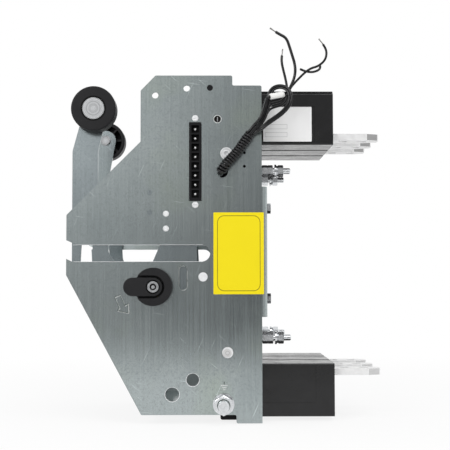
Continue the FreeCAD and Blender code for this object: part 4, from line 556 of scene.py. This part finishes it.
# Routes of the part's cords and of the cut end that is wound round one of them, in millimetres
ROUTES = {
    "lead_bundle": [
        (-47.5, -75.2, 113.0),
        (-47.5, -75.2, 104.0),
        (-46.6, -75.2, 95.0),
        (-44.9, -75.4, 86.3),
        (-43.3, -76.2, 78.6),
        (-42.5, -79.6, 73.4),
        (-42.3, -85.0, 71.6),
        (-42.0, -88.9, 73.6),
        (-40.0, -90.6, 76.4),
        (-38.0, -92.3, 79.2),
        (-34.2, -92.0, 83.2),
        (-29.4, -91.6, 88.0),
        (-24.6, -91.6, 94.2),
        (-20.1, -91.7, 101.1),
        (-15.8, -91.4, 106.3),
    ],
    "loop_wire": [
        (-15.7, -93.8, 106.4),
        (-13.6, -93.7, 108.9),
        (-10.2, -93.0, 112.1),
        (-6.1, -93.0, 117.5),
        (-3.1, -92.9, 123.8),
        (-0.8, -92.6, 131.8),
        (0.2, -92.4, 137.7),
        (1.0, -92.4, 143.7),
        (4.7, -92.9, 148.8),
        (11.0, -94.0, 150.4),
        (17.1, -95.6, 148.4),
        (21.1, -96.9, 142.7),
        (21.4, -97.2, 135.2),
        (17.7, -97.2, 128.5),
        (11.7, -97.0, 122.8),
        (5.2, -96.6, 118.3),
        (-1.0, -96.0, 114.2),
        (-5.9, -95.0, 110.0),
        (-10.6, -91.9, 109.0),
        (-13.9, -92.1, 104.9),
    ],
    "short_wire": [
        (-16.8, -89.4, 107.3),
        (-14.7, -89.3, 109.8),
        (-11.7, -88.4, 113.3),
        (-6.2, -89.0, 118.3),
        (-3.1, -89.0, 124.6),
        (-0.3, -89.0, 131.3),
        (4.5, -89.0, 134.9),
        (10.4, -89.0, 135.8),
        (15.8, -89.0, 139.4),
        (18.1, -89.0, 145.3),
        (17.4, -89.0, 151.9),
        (16.1, -89.0, 158.3),
        (14.5, -89.0, 164.8),
        (13.1, -89.0, 171.0),
        (12.9, -89.0, 176.7),
        (14.0, -89.0, 184.1),
    ],
    "long_wire": [
        (-17.5, -92.1, 107.9),
        (-15.4, -92.0, 110.4),
        (-12.7, -93.0, 114.1),
        (-8.1, -95.2, 118.5),
        (-5.0, -96.3, 124.5),
        (-3.2, -96.8, 131.6),
        (-1.7, -96.9, 136.0),
        (-0.4, -96.9, 139.2),
        (16.4, -92.7, 142.6),
        (19.3, -92.3, 146.4),
        (22.0, -92.3, 151.9),
        (24.3, -92.6, 157.9),
        (25.1, -92.9, 164.5),
        (24.2, -92.9, 171.2),
        (22.1, -92.9, 178.0),
        (20.0, -92.9, 184.9),
        (17.1, -92.9, 193.6),
        (10.2, -92.9, 197.0),
        (2.3, -92.9, 202.2),
    ],
    "twisted_wire": [
        (-14.6, -89.4, 105.5),
        (-12.5, -89.3, 108.0),
        (-9.3, -87.4, 111.3),
        (-4.2, -86.2, 117.5),
        (-1.2, -86.2, 123.8),
        (1.8, -86.2, 129.8),
        (7.4, -86.2, 132.0),
        (13.7, -86.2, 133.6),
        (18.0, -86.2, 138.6),
        (19.0, -86.2, 144.7),
        (21.5, -86.2, 150.1),
        (25.8, -86.2, 154.9),
        (30.5, -86.2, 159.8),
        (35.2, -86.2, 164.3),
        (40.2, -86.2, 167.5),
        (46.3, -86.2, 169.1),
        (52.7, -86.2, 174.5),
        (54.3, -86.2, 182.0),
        (51.7, -86.2, 188.3),
        (47.0, -86.2, 194.2),
    ],
}
STUB = [
    (29.9, -85.4, 166.7),
    (33.6, -84.2, 165.3),
    (37.2, -83.9, 164.4),
    (41.4, -85.2, 163.9),
    (45.4, -87.8, 164.6),
    (48.2, -88.9, 166.8),
    (47.6, -88.8, 169.6),
]
BUNDLE_RADIUS = 2.9 * MM
WIRE_RADIUS = 1.3 * MM
SHORT_RADIUS = 1.15 * MM
THIN_RADIUS = 1.05 * MM
TUBE_SIDES = 14

# The loop's second strand lies this far inside the first and in front of it, and comes away from it over
# this share of its length at each end
LOOP_GAP = 2.1 * MM
LOOP_FORWARD = 0.2 * MM
LOOP_EASE = 0.16

# Winding round the upper end of the bundle: its middle line lies this high over the bundle's surface, and its
# turns lean in and out by a share of their radius
WINDING_LENGTH = 42 * MM
WINDING_PITCH = 2.6 * MM
WINDING_HEIGHT = 0.95 * MM
WINDING_RADIUS = 1.12 * MM
WINDING_LEAN = 0.03
LEAN_RATE = 0.37
LEAN_START = 1.1
STEPS_PER_TURN = 14

# Bare ends: the strands start at a share of the core's radius, turn by this many radians and fan out unevenly
CORE_RADIUS = 0.5 * MM
TIP_LENGTH = 7.0 * MM
STRANDS = 5
STRAND_RADIUS = 0.16 * MM
STRAND_SIDES = 6
STRAND_TURN = 2.0
STRAND_START = 0.7
STRAND_FAN = 0.4
STRAND_FAN_STEP = 0.25

# White sleeve: the shares of its radius at its two ends and just inside them make it round there
SLEEVE_LENGTH = 14.4 * MM
SLEEVE_RADIUS = 2.7 * MM
SLEEVE_CLEARANCE = 0.4 * MM
SLEEVE_END = 0.82
SLEEVE_SHOULDER = 0.96
SLEEVE_SIDES = 20
# The two points of the long wire's route that it lies between
SLEEVE_BETWEEN = (7, 8)

# Each stripped wire's route, the node that it replaces, how far its strands fan out, and its radius
STRIPPED = (
    ("short_wire", "wire_a", 0.3, SHORT_RADIUS),
    ("long_wire", "wire_b", 0.7, WIRE_RADIUS),
    ("twisted_wire", "wire_c", 0.4, THIN_RADIUS),
)


def curve_through(name, points, radius=0.0):
    """Smooth curve whose control points are the route's."""
    curve = bpy.data.curves.new(name, "CURVE")
    curve.dimensions = "3D"
    curve.resolution_u = 8
    spline = curve.splines.new("NURBS")
    spline.points.add(len(points) - 1)
    for target, place in zip(spline.points, points):
        target.co = (*place, 1)
    spline.order_u = 3
    spline.use_endpoint_u = True
    curve.bevel_depth = radius
    curve.bevel_resolution = 5
    curve.use_fill_caps = True
    piece = bpy.data.objects.new(name, curve)
    scene.collection.objects.link(piece)
    return piece


def line_of(points):
    """Close points along the smooth curve of a route."""
    piece = curve_through("route_line", points)
    bpy.context.view_layer.update()
    mesh = bpy.data.meshes.new_from_object(piece.evaluated_get(bpy.context.evaluated_depsgraph_get()))
    line = [vertex.co.copy() for vertex in mesh.vertices]
    bpy.data.meshes.remove(mesh)
    bpy.data.objects.remove(piece)
    return line


def lengths_of(line):
    """Distance along a line at each of its points."""
    total = [0.0]
    for first, second in zip(line, line[1:]):
        total.append(total[-1] + (second - first).length)
    return total


def along_at(line, index):
    """Direction of a line at one of its points."""
    before, after = line[max(index - 1, 0)], line[min(index + 1, len(line) - 1)]
    return (after - before).normalized()


def frames_of(line):
    """Two directions across a line at each of its points, without twist."""
    frames = []
    side = along_at(line, 0).orthogonal().normalized()
    for index in range(len(line)):
        along = along_at(line, index)
        side = (side - along * side.dot(along)).normalized()
        frames.append((side, along.cross(side)))
    return frames


def ring_round(mesh, place, side, up, radius, sides):
    """Ring of new vertices round a place, in the plane of two directions."""
    turns = [math.tau * step / sides for step in range(sides)]
    return [mesh.verts.new(place + (side * math.cos(turn) + up * math.sin(turn)) * radius) for turn in turns]


def bridge(mesh, first, second, material=0, smooth=False):
    """Band of faces between two closed rings with as many vertices."""
    for step in range(len(first)):
        after = (step + 1) % len(first)
        face = mesh.faces.new((first[step], first[after], second[after], second[step]))
        face.material_index = material
        face.smooth = smooth


def tube_into(mesh, line, radii, material=0, sides=TUBE_SIDES):
    """Adds a tube with closed ends to a mesh being built."""
    rings = []
    for place, radius, (side, up) in zip(line, radii, frames_of(line)):
        rings.append(ring_round(mesh, place, side, up, radius, sides))
    for first, second in zip(rings, rings[1:]):
        bridge(mesh, first, second, material, smooth=True)
    for ring in (rings[0][::-1], rings[-1]):
        mesh.faces.new(ring).material_index = material


def object_from(mesh, name, materials):
    """Object made from a mesh being built."""
    bmesh.ops.recalc_face_normals(mesh, faces=mesh.faces)
    data = bpy.data.meshes.new(name)
    mesh.to_mesh(data)
    mesh.free()
    for material in materials:
        data.materials.append(material)
    piece = bpy.data.objects.new(name, data)
    scene.collection.objects.link(piece)
    return piece


def tube_piece(name, line, radius, material):
    """Plain round piece along a line."""
    mesh = bmesh.new()
    tube_into(mesh, line, [radius] * len(line))
    return object_from(mesh, name, [material])


def helix(line, low, high, radius, pitch, lean=0.0):
    """Points of a winding round the part of a line between two lengths, whose turns lean in and out."""
    lengths = lengths_of(line)
    frames = frames_of(line)
    points = []
    count = int((high - low) / pitch * STEPS_PER_TURN)
    for step in range(count + 1):
        wanted = low + (high - low) * step / count
        index = max(i for i, value in enumerate(lengths[:-1]) if value <= wanted)
        share = (wanted - lengths[index]) / (lengths[index + 1] - lengths[index])
        place = line[index].lerp(line[index + 1], share)
        side = frames[index][0].lerp(frames[index + 1][0], share).normalized()
        up = frames[index][1].lerp(frames[index + 1][1], share).normalized()
        angle = math.tau * step / STEPS_PER_TURN
        reach = radius * (1 + lean * math.sin(angle * LEAN_RATE + LEAN_START))
        points.append(place + (side * math.cos(angle) + up * math.sin(angle)) * reach)
    return points


def bare_strands(name, bare, fan):
    """Strands that stand out of a wire's bare end, turn round it and fan out towards its tip."""
    mesh = bmesh.new()
    side, up = frames_of(bare)[0]
    for number in range(STRANDS):
        angle = math.tau * number / STRANDS
        outward = side * math.cos(angle) + up * math.sin(angle)
        around = outward.cross(bare[-1] - bare[0]).normalized()
        path = []
        for step, place in enumerate(bare):
            share = step / (len(bare) - 1)
            turn = outward * math.cos(share * STRAND_TURN) + around * math.sin(share * STRAND_TURN)
            spread = fan * share * (STRAND_FAN + STRAND_FAN_STEP * number)
            path.append(place + turn * (CORE_RADIUS * (STRAND_START + spread)))
        tube_into(mesh, path, [STRAND_RADIUS] * len(path), sides=STRAND_SIDES)
    return object_from(mesh, name, [STRAND])


def stripped_wire(name, points, fan, radius):
    """Insulated wire with a bare end, and the strands that stand out of that end."""
    line = line_of(points)
    lengths = lengths_of(line)
    cut = lengths[-1] - TIP_LENGTH
    index = min(i for i, value in enumerate(lengths) if value >= cut)
    covered, bare = line[: index + 1], line[index:]
    mesh = bmesh.new()
    tube_into(mesh, covered, [radius] * len(covered))
    tube_into(mesh, bare, [CORE_RADIUS] * len(bare), material=1)
    wire = object_from(mesh, name, [WIRE, STRAND])
    return wire, bare_strands(name + "_strands", bare, fan), line


def beside(line, distance):
    """A line that keeps a distance inside the loop that another line makes in the XZ plane."""
    centre = sum(line, Vector()) / len(line)
    moved = []
    for index, place in enumerate(line):
        across = along_at(line, index).cross(Vector((0, 1, 0))).normalized()
        if across.dot(centre - place) < 0:
            across = -across
        share = min(index, len(line) - 1 - index) / (len(line) * LOOP_EASE)
        moved.append(place + across * (distance * min(share, 1.0)) + Vector((0, -LOOP_FORWARD, 0)))
    return moved


def sleeve_on(line, start, end):
    """White hollow sleeve round the part of a wire that lies between two of its route's points."""
    lengths = lengths_of(line)
    centre = (start + end) / 2
    nearest = min(range(len(line)), key=lambda i: (line[i] - centre).length)
    part = [p for p, s in zip(line, lengths) if abs(s - lengths[nearest]) <= SLEEVE_LENGTH / 2]
    last = len(part) - 1
    shares = [(0, SLEEVE_END), (0, SLEEVE_SHOULDER)]
    shares += [(index, 1.0) for index in range(1, last)]
    shares += [(last, SLEEVE_SHOULDER), (last, SLEEVE_END)]
    bore = WIRE_RADIUS + SLEEVE_CLEARANCE
    stations = [(index, share * SLEEVE_RADIUS) for index, share in shares] + [(last, bore), (0, bore)]
    frames = frames_of(part)
    mesh = bmesh.new()
    rings = []
    for index, radius in stations:
        rings.append(ring_round(mesh, part[index], *frames[index], radius, SLEEVE_SIDES))
    for first, second in zip(rings, rings[1:] + rings[:1]):
        bridge(mesh, first, second, smooth=True)
    return object_from(mesh, "wire_tube", [SLEEVE])


def make_bundle(route):
    """Bundle out of the cable hole, with the winding round its upper end."""
    line = line_of(route)
    bundle = curve_through("lead_bundle", route, BUNDLE_RADIUS)
    bundle.data.materials.append(WIRE)
    length = lengths_of(line)[-1]
    height = BUNDLE_RADIUS + WINDING_HEIGHT
    wound = helix(line, length - WINDING_LENGTH, length, height, WINDING_PITCH, WINDING_LEAN)
    winding = tube_piece("winding", wound, WINDING_RADIUS, WIRE)
    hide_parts("wire_bundle", "wire_wrap")
    return [bundle, winding]


def make_loop(route):
    """Loop of wire with its second strand beside it."""
    line = line_of(route)
    loop = curve_through("loop_wire", route, WIRE_RADIUS)
    loop.data.materials.append(WIRE)
    partner = tube_piece("loop_partner", beside(line, LOOP_GAP), THIN_RADIUS, WIRE)
    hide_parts("wire_loop")
    return [loop, partner]


def make_sleeve(line, route):
    """Sleeve that sits on the long wire."""
    sleeve = sleeve_on(line, *(route[index] for index in SLEEVE_BETWEEN))
    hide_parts("wire_sleeve")
    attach(sleeve, "cradle")
    return sleeve


def make_stripped(name, node, fan, radius, route):
    """Stripped wire and its strands, and the sleeve or the wound cut end that lies on it."""
    wire, strands, line = stripped_wire(name, route, fan, radius)
    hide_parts(node)
    sleeve, stub = [], []
    if name == "long_wire":
        sleeve = [make_sleeve(line, route)]
    if name == "twisted_wire":
        stub = [tube_piece("wound_stub", line_of([at(*point) for point in STUB]), THIN_RADIUS, WIRE)]
    return [*stub, wire, strands]


def make_wires():
    """The bundle with its winding, the loop and the three stripped wires."""
    routes = {name: [at(*point) for point in points] for name, points in ROUTES.items()}
    pieces = make_bundle(routes["lead_bundle"]) + make_loop(routes["loop_wire"])
    for name, node, fan, radius in STRIPPED:
        pieces += make_stripped(name, node, fan, radius, routes[name])
    for piece in pieces:
        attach(piece, "cradle")


make_wires()


# Films, stamped marks, threads and small trim, much of the marks and trim drawn as painted shade and painted
# highlight; all sizes in millimetres

PLATE_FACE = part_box("side_plate_near")[0].y / MM
LABEL_FACE = -63.4
POLES = ("near", "middle", "far")
# Thickness of the films, of most marks, and of the low marks that pass under others
FILM = 0.14
MARK = 0.03
LOW_MARK = 0.02


def rounded(x_range, z_range, radius, steps=6):
    """Outline of a rectangle with round corners."""
    corners = (
        (x_range[1] - radius, z_range[0] + radius, -90),
        (x_range[1] - radius, z_range[1] - radius, 0),
        (x_range[0] + radius, z_range[1] - radius, 90),
        (x_range[0] + radius, z_range[0] + radius, 180),
    )
    points = []
    for x, z, start in corners:
        for step in range(steps + 1):
            angle = math.radians(start + 90 * step / steps)
            points.append((x + radius * math.cos(angle), z + radius * math.sin(angle)))
    return points


def bar(middle, half, low, high):
    """Small upright or lying bar of a stamped sign."""
    return rounded((middle - half, middle + half), (low, high), radius=0.3, steps=3)


def circle(x, z, radius, steps=24):
    """Points of a circle that is seen from the side."""
    turns = [math.tau * step / steps for step in range(steps)]
    return [(x + radius * math.cos(turn), z + radius * math.sin(turn)) for turn in turns]


def offset(outline, amount):
    """Closed outline moved outwards by an amount, corner by corner."""
    area = sum(a[0] * b[1] - b[0] * a[1] for a, b in zip(outline, outline[1:] + outline[:1]))
    hand = math.copysign(1.0, area)
    moved = []
    for index, place in enumerate(outline):
        before, after = Vector(outline[index - 1]), Vector(outline[(index + 1) % len(outline)])
        here = Vector(place)
        first, second = (here - before).normalized(), (after - here).normalized()
        out = Vector((first.y, -first.x)) + Vector((second.y, -second.x))
        moved.append(tuple(here + out * (hand * amount / max(1 + first.dot(second), 0.3))))
    return moved


def trim_from(mesh, name, material, body="cradle"):
    """Small piece made from a mesh being built."""
    piece = object_from(mesh, name, [material])
    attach(piece, body)


def layer(name, body, material, y, outer, inner=None, thick=MARK):
    """Thin flat piece on a face that looks along -Y, with an open middle where inner is given."""
    mesh = bmesh.new()
    outlines = (outer, inner) if inner else (outer,)
    rings = []
    for line in outlines:
        for depth in (y, y - thick):
            rings.append([mesh.verts.new(at(x, depth, z)) for x, z in line])
    pairs = ((0, 1), (2, 3), (0, 2), (1, 3)) if inner else ((0, 1),)
    for first, second in pairs:
        bridge(mesh, rings[first], rings[second])
    if not inner:
        for ring in rings:
            mesh.faces.new(ring)
    trim_from(mesh, name, material, body)


def plate_mark(name, material, outer, inner=None, thick=MARK):
    """Mark on the outer face of the near side plate."""
    layer(name, "cradle", material, PLATE_FACE, outer, inner, thick)


def film(name, material, y, outer, inner=None, thick=MARK):
    """Printed film, or a line on it."""
    layer(name, "cradle", material, y, outer, inner, thick)


STICKER = rounded((-48.7, -3.3), (-36.9, 36.7), 0.6)
STICKER_LINE = rounded((-45.3, -6.4), (-34.1, 34.0), 6.2)
LABEL_EDGE = rounded((-2.6, 42.2), (103.5, 135.9), 0.8)
LABEL_BOXES = (((-1.0, 19.6), (115.2, 119.6)), ((-1.0, 19.6), (107.9, 112.2)))
STICKER_LINE_WIDTH = 0.55
LABEL_LINE_WIDTH = 0.3


def make_films():
    """Bare yellow film with a line round it on the side plate, and a bare white one on the moulding."""
    film("side_film", YELLOW, PLATE_FACE, STICKER, thick=FILM)
    film("film_line", BORDER, PLATE_FACE - FILM, STICKER_LINE, offset(STICKER_LINE, -STICKER_LINE_WIDTH))
    film("housing_film", LABEL, LABEL_FACE, LABEL_EDGE, thick=FILM)
    for number, (x_range, z_range) in enumerate(LABEL_BOXES):
        box = rounded(x_range, z_range, radius=0.2, steps=2)
        film("film_box_%d" % number, RULE, LABEL_FACE - FILM, box, offset(box, -LABEL_LINE_WIDTH))


ARROW = [
    (-137.4, -39.3),
    (-132.6, -37.3),
    (-128.3, -46.8),
    (-125.4, -45.2),
    (-125.2, -53.6),
    (-134.9, -51.3),
    (-133.1, -49.0),
]
SLOT_LIP = rounded((-80.0, -72.6), (-33.0, -11.2), 3.6)
# The painted highlight of a pressed outline lies this much lower and to the right of its painted shade, and
# is this much as wide
GLINT_SHIFT = 1.6
GLINT_WIDTH = 0.8
# Earth sign, its stem painted shade and its bars painted highlight: half width, foot and top of its stem, and
# each bar's half width and height of its middle
EARTH_X = -39.2
EARTH_STEM = (0.45, -117.4, -114.7)
EARTH_BARS = ((2.9, -118.3), (2.0, -120.2), (0.9, -122.0))
EARTH_BAR_HALF = 0.4


def embossed(name, outline, width):
    """Pressed outline drawn as painted shade and painted highlight: a dark line, and a light one a little
    lower and to the right.
    """
    plate_mark(name + "_shade", PAINTED_SHADE_GREY, offset(outline, width), offset(outline, -width))
    lower = [(x + width * GLINT_SHIFT, z - width * GLINT_SHIFT) for x, z in outline]
    outer, inner = offset(lower, width * GLINT_WIDTH), offset(lower, -width * GLINT_WIDTH)
    plate_mark(name + "_glint", PAINTED_HIGHLIGHT, outer, inner, thick=LOW_MARK)


def make_stamps():
    """Outline arrow beside the lock, lip of the inspection slot, and the earth sign above its bolt, all drawn
    as painted shade and painted highlight.
    """
    embossed("arrow", ARROW, width=0.33)
    embossed("slot", SLOT_LIP, width=0.2)
    plate_mark("earth_stem", PAINTED_SHADE_GREY, bar(EARTH_X, *EARTH_STEM))
    for number, (half, z) in enumerate(EARTH_BARS):
        lying = bar(EARTH_X, half, z - EARTH_BAR_HALF, z + EARTH_BAR_HALF)
        plate_mark("earth_bar_%d" % number, PAINTED_HIGHLIGHT, lying, thick=0.05)


STUD_HALF_WIDTH = 44.0
STUD_HALF_HEIGHT = 78.0
# X and Z of the earth bolt
EARTH_BOLT = middle_of("earth_nut")[0::2]
# Where the threads begin and end, along X on the studs and along Y on the earth bolt
STUD_THREAD = (1.0, 21.4)
EARTH_THREAD = (-94.4, -101.4)
THREAD_STEPS = 8
THREAD_SIDES = 5


def thread(name, start, end, radius, pitch, depth):
    """Raised thread round a straight stretch of a screw, its sizes in millimetres."""
    line = [start.lerp(end, step / THREAD_STEPS) for step in range(THREAD_STEPS + 1)]
    turns = helix(line, 0.0, (end - start).length, radius * MM, pitch * MM)
    mesh = bmesh.new()
    tube_into(mesh, turns, [depth * MM] * len(turns), sides=THREAD_SIDES)
    trim_from(mesh, name, BRIGHT_ZINC_AND_HIGHLIGHT)


def make_threads():
    """Threads of the four rear studs and of the earth bolt's free end."""
    for side, where in ((-1, "near"), (1, "far")):
        for level, height in ((1, "upper"), (-1, "lower")):
            start, end = (at(x, STUD_HALF_WIDTH * side, STUD_HALF_HEIGHT * level) for x in STUD_THREAD)
            thread("stud_thread_%s_%s" % (height, where), start, end, radius=2.72, pitch=1.0, depth=0.25)
    x, z = EARTH_BOLT
    start, end = (at(x, y, z) for y in EARTH_THREAD)
    thread("earth_thread", start, end, radius=4.86, pitch=1.5, depth=0.36)


# Heights of the painted highlights on the side slot's two cut edges, and their length
SLOT_EDGE_HIGHLIGHTS = (("upper", (7.4, 7.66)), ("lower", (-7.7, -7.4)))
SLOT_LENGTH = (-175.0, -58.0)
# Centre and radius of the two lower holes. The painted highlight round them lies between two distances from
# their edge, and is widest underneath
LOWER_HOLES = (("spare_hole", -67.3, -113.2, 5.65), ("foot_hole", -85.6, -126.2, 6.25))
HOLE_HIGHLIGHT = (0.04, 0.42)
HOLE_HIGHLIGHT_DROP = 0.1


def make_cut_edges():
    """Painted highlights along the cut edges of the side slot and round the two lower holes."""
    for name, heights in SLOT_EDGE_HIGHLIGHTS:
        strip = rounded(SLOT_LENGTH, heights, radius=0.1, steps=2)
        plate_mark("slot_edge_highlight_" + name, PALE_ZINC_AND_HIGHLIGHT, strip, thick=LOW_MARK)
    for name, x, z, radius in LOWER_HOLES:
        inner = circle(x, z, radius + HOLE_HIGHLIGHT[0], steps=40)
        outer = circle(x, z - HOLE_HIGHLIGHT_DROP, radius + HOLE_HIGHLIGHT[1], steps=40)
        plate_mark(name + "_edge", PALE_ZINC_AND_HIGHLIGHT, outer, inner, thick=LOW_MARK)


# Centre and radius of the painted shade in the screw's socket and of the painted highlight in it
LOCK_SOCKET_SHADE = (-102.5, -30.1, 3.0)
LOCK_HIGHLIGHT = (-102.4, -30.3, 1.6)


def make_lock_centre():
    """Painted shade in the socket ring of the lock screw, and the painted highlight in it."""
    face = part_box("lock_screw")[0].y / MM
    layer("screw_socket", "lock", PAINTED_SHADE_BLACK, face, circle(*LOCK_SOCKET_SHADE))
    layer("screw_highlight", "lock", BRIGHT_ZINC_AND_HIGHLIGHT, face - MARK, circle(*LOCK_HIGHLIGHT), thick=0.04)


# Earth bolt's nut: its width across flats, the radii where its chamfer begins and of its bore, and the radii
# of the painted shade round the bolt
NUT_FLATS = 16.0
NUT_CHAMFER = 7.7
NUT_BORE = 5.2
BORE_CHAMFER = 0.5
NUT_SHADE = (5.25, 5.9)
POINTS_PER_SIDE = 6


def nut_ring(radius_at, depth_at):
    """Ring of places round the earth bolt, its radius and depth worked out from the nut's reach there."""
    count = 6 * POINTS_PER_SIDE
    places = []
    for step in range(count):
        angle = math.tau * step / count
        from_flat = (angle + math.radians(30)) % math.radians(60) - math.radians(30)
        reach = NUT_FLATS / 2 / math.cos(from_flat)
        radius = radius_at(reach)
        x, z = EARTH_BOLT[0] + radius * math.cos(angle), EARTH_BOLT[1] + radius * math.sin(angle)
        places.append(at(x, depth_at(reach), z))
    return places


def make_earth_nut():
    """Hexagon nut of the earth bolt with chamfered corners, its flats upright, with a ring of painted shade
    round the bolt.
    """
    front, back = (corner.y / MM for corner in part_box("earth_nut"))
    slope = math.tan(math.radians(30))
    places = (
        nut_ring(lambda reach: NUT_BORE, lambda reach: back),
        nut_ring(lambda reach: reach, lambda reach: back),
        nut_ring(lambda reach: reach, lambda reach: front + max(reach - NUT_CHAMFER, 0) * slope),
        nut_ring(lambda reach: NUT_CHAMFER, lambda reach: front),
        nut_ring(lambda reach: NUT_BORE + BORE_CHAMFER, lambda reach: front),
        nut_ring(lambda reach: NUT_BORE, lambda reach: front + BORE_CHAMFER),
    )
    mesh = bmesh.new()
    rings = [[mesh.verts.new(place) for place in ring] for ring in places]
    for first, second in zip(rings, rings[1:] + rings[:1]):
        bridge(mesh, first, second)
    piece = object_from(mesh, "hexagon_nut", [BRIGHT_ZINC_AND_HIGHLIGHT])
    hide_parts("earth_nut")
    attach(piece, "cradle")
    inner, outer = (circle(*EARTH_BOLT, radius) for radius in NUT_SHADE)
    layer("nut_shade", "cradle", PAINTED_SHADE_GREY, front, outer, inner)


# Cut corner of a terminal bar: the place and half width of its two ends, and the heights of its edges
TIP_START = (94.8, 10.667)
TIP_END = (104.9, 6.458)
TIP_EDGES = (106.2, 111.8)
# Direction across the cut, and how thick the painted shade on it is
TIP_OUT = (0.4, 0.92)
TIP_SHADE_THICKNESS = 0.06


def make_tip(name, material, pole, hand, turn):
    """Painted shade on one cut corner of a terminal bar."""
    low, high = TIP_EDGES
    corners = ((*TIP_START, low), (*TIP_END, low), (*TIP_END, high), (*TIP_START, high))
    mesh = bmesh.new()
    sheets = []
    for lift in (0, TIP_SHADE_THICKNESS):
        x_lift, half_lift = TIP_OUT[0] * lift, TIP_OUT[1] * lift
        places = [at(x + x_lift, pole + hand * (half + half_lift), z * turn) for x, half, z in corners]
        sheets.append([mesh.verts.new(place) for place in places])
    bridge(mesh, *sheets)
    for sheet in sheets:
        mesh.faces.new(sheet)
    trim_from(mesh, name, material)


def make_tips():
    """Painted shade on both cut corners of all six terminal bars, darker on the upper bars than on the lower
    ones.
    """
    for level, turn, material in (("upper", 1, GREY_SHADE_AND_MARK), ("lower", -1, SATIN_AND_TIP_SHADE)):
        for place in POLES:
            pole = middle_of("%s_bar_%s" % (level, place))[1]
            for hand, side in ((-1, "near"), (1, "far")):
                make_tip("tip_%s_%s_%s" % (level, place, side), material, pole, hand, turn)


# The painted shade at the step lies between these two distances from the axle
ROLLER_STEP_SHADE = (0.2, 1.3)


def make_roller_steps():
    """Painted shade at the step round the axle on the outer face of each roller."""
    for where, face in (("near", 0), ("far", 1)):
        low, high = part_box("roller_axle_" + where)
        x, _, z = middle_of("roller_axle_" + where)
        bore = (high.z - low.z) / 2 / MM
        inner, outer = (circle(x, z, bore + width, steps=48) for width in ROLLER_STEP_SHADE)
        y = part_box("roller_" + where)[face].y / MM + MARK * face
        layer("roller_step_shade_" + where, where + "_roller", PAINTED_SHADE_BLACK, y, outer, inner)


# Painted highlight on the boss's rim and its tool mark: how far each circle's middle lies in front of and
# below the boss's, and its radius
BOSS_HIGHLIGHT = ((0.0, 0.0, 4.7), (0.45, 0.55, 3.95))
BOSS_MARK = ((0.2, 0.3, 1.9), (0.2, 0.3, 1.5))


def make_boss_marks():
    """Painted highlight on the rim of the lower boss of the near side plate, and the tool mark on it."""
    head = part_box("side_bosses")[0].y / MM
    x, _, z = middle_of("side_bosses")
    for name, material, circles in (("boss_highlight", PALE_ZINC_AND_HIGHLIGHT, BOSS_HIGHLIGHT), ("boss_mark", GREY_SHADE_AND_MARK, BOSS_MARK)):
        outer, inner = (circle(x - front, z - below, radius) for front, below, radius in circles)
        layer(name, "cradle", material, head, outer, inner)


# Centre of the slotted screw's hole, radii of the painted highlight on the lip round it, and the bottom, half
# width and half height of the screw's slot, where a painted highlight lies
SWITCH_HOLE = (-45.0, 121.4)
HOLE_LIP_HIGHLIGHT = (3.15, 3.75)
SCREW_SLOT_FACE = -82.2
SCREW_SLOT_HALF = (0.45, 2.1)


def make_switch_trim():
    """Painted highlight on the lip round the slotted screw's hole, and a painted highlight at the bottom of
    its slot.
    """
    inner, outer = (circle(*SWITCH_HOLE, radius) for radius in HOLE_LIP_HIGHLIGHT)
    plate_mark("hole_lip_highlight", PAINTED_HIGHLIGHT, outer, inner, thick=0.06)
    (x, z), (half, reach) = SWITCH_HOLE, SCREW_SLOT_HALF
    slot = bar(x, half, z - reach, z + reach)
    layer("screw_slot_highlight", "cradle", TURNED_STEEL_AND_HIGHLIGHT, SCREW_SLOT_FACE, slot, thick=0.05)


# Height of the rim, how far it lies inside the moulding's four sides, and the gap under it that keeps its
# underside off the moulding's top
RIM_HEIGHT = 1.5
RIM_INSET = 0.2
RIM_GAP = 0.05
RIM_BEVEL = 0.45


def make_rims():
    """Raised rim on the outer face of each upper moulding."""
    for place in POLES:
        low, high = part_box("upper_housing_" + place)
        inset = Vector((RIM_INSET, RIM_INSET, 0)) * MM
        low, high = low + inset, high - inset
        low.z = high.z + RIM_GAP * MM
        high.z = low.z + RIM_HEIGHT * MM
        mesh = bmesh.new()
        bmesh.ops.create_cube(mesh, size=1.0)
        for vertex in mesh.verts:
            vertex.co = [a + (b - a) * (share + 0.5) for a, b, share in zip(low, high, vertex.co)]
        bmesh.ops.bevel(
            mesh,
            geom=mesh.edges[:],
            offset=RIM_BEVEL * MM,
            segments=3,
            profile=0.5,
            affect="EDGES",
            clamp_overlap=True,
        )
        trim_from(mesh, "moulding_rim_" + place, HOUSING)


make_films()
make_stamps()
make_threads()
make_cut_edges()
make_lock_centre()
make_earth_nut()
make_tips()
make_roller_steps()
make_boss_marks()
make_switch_trim()
make_rims()
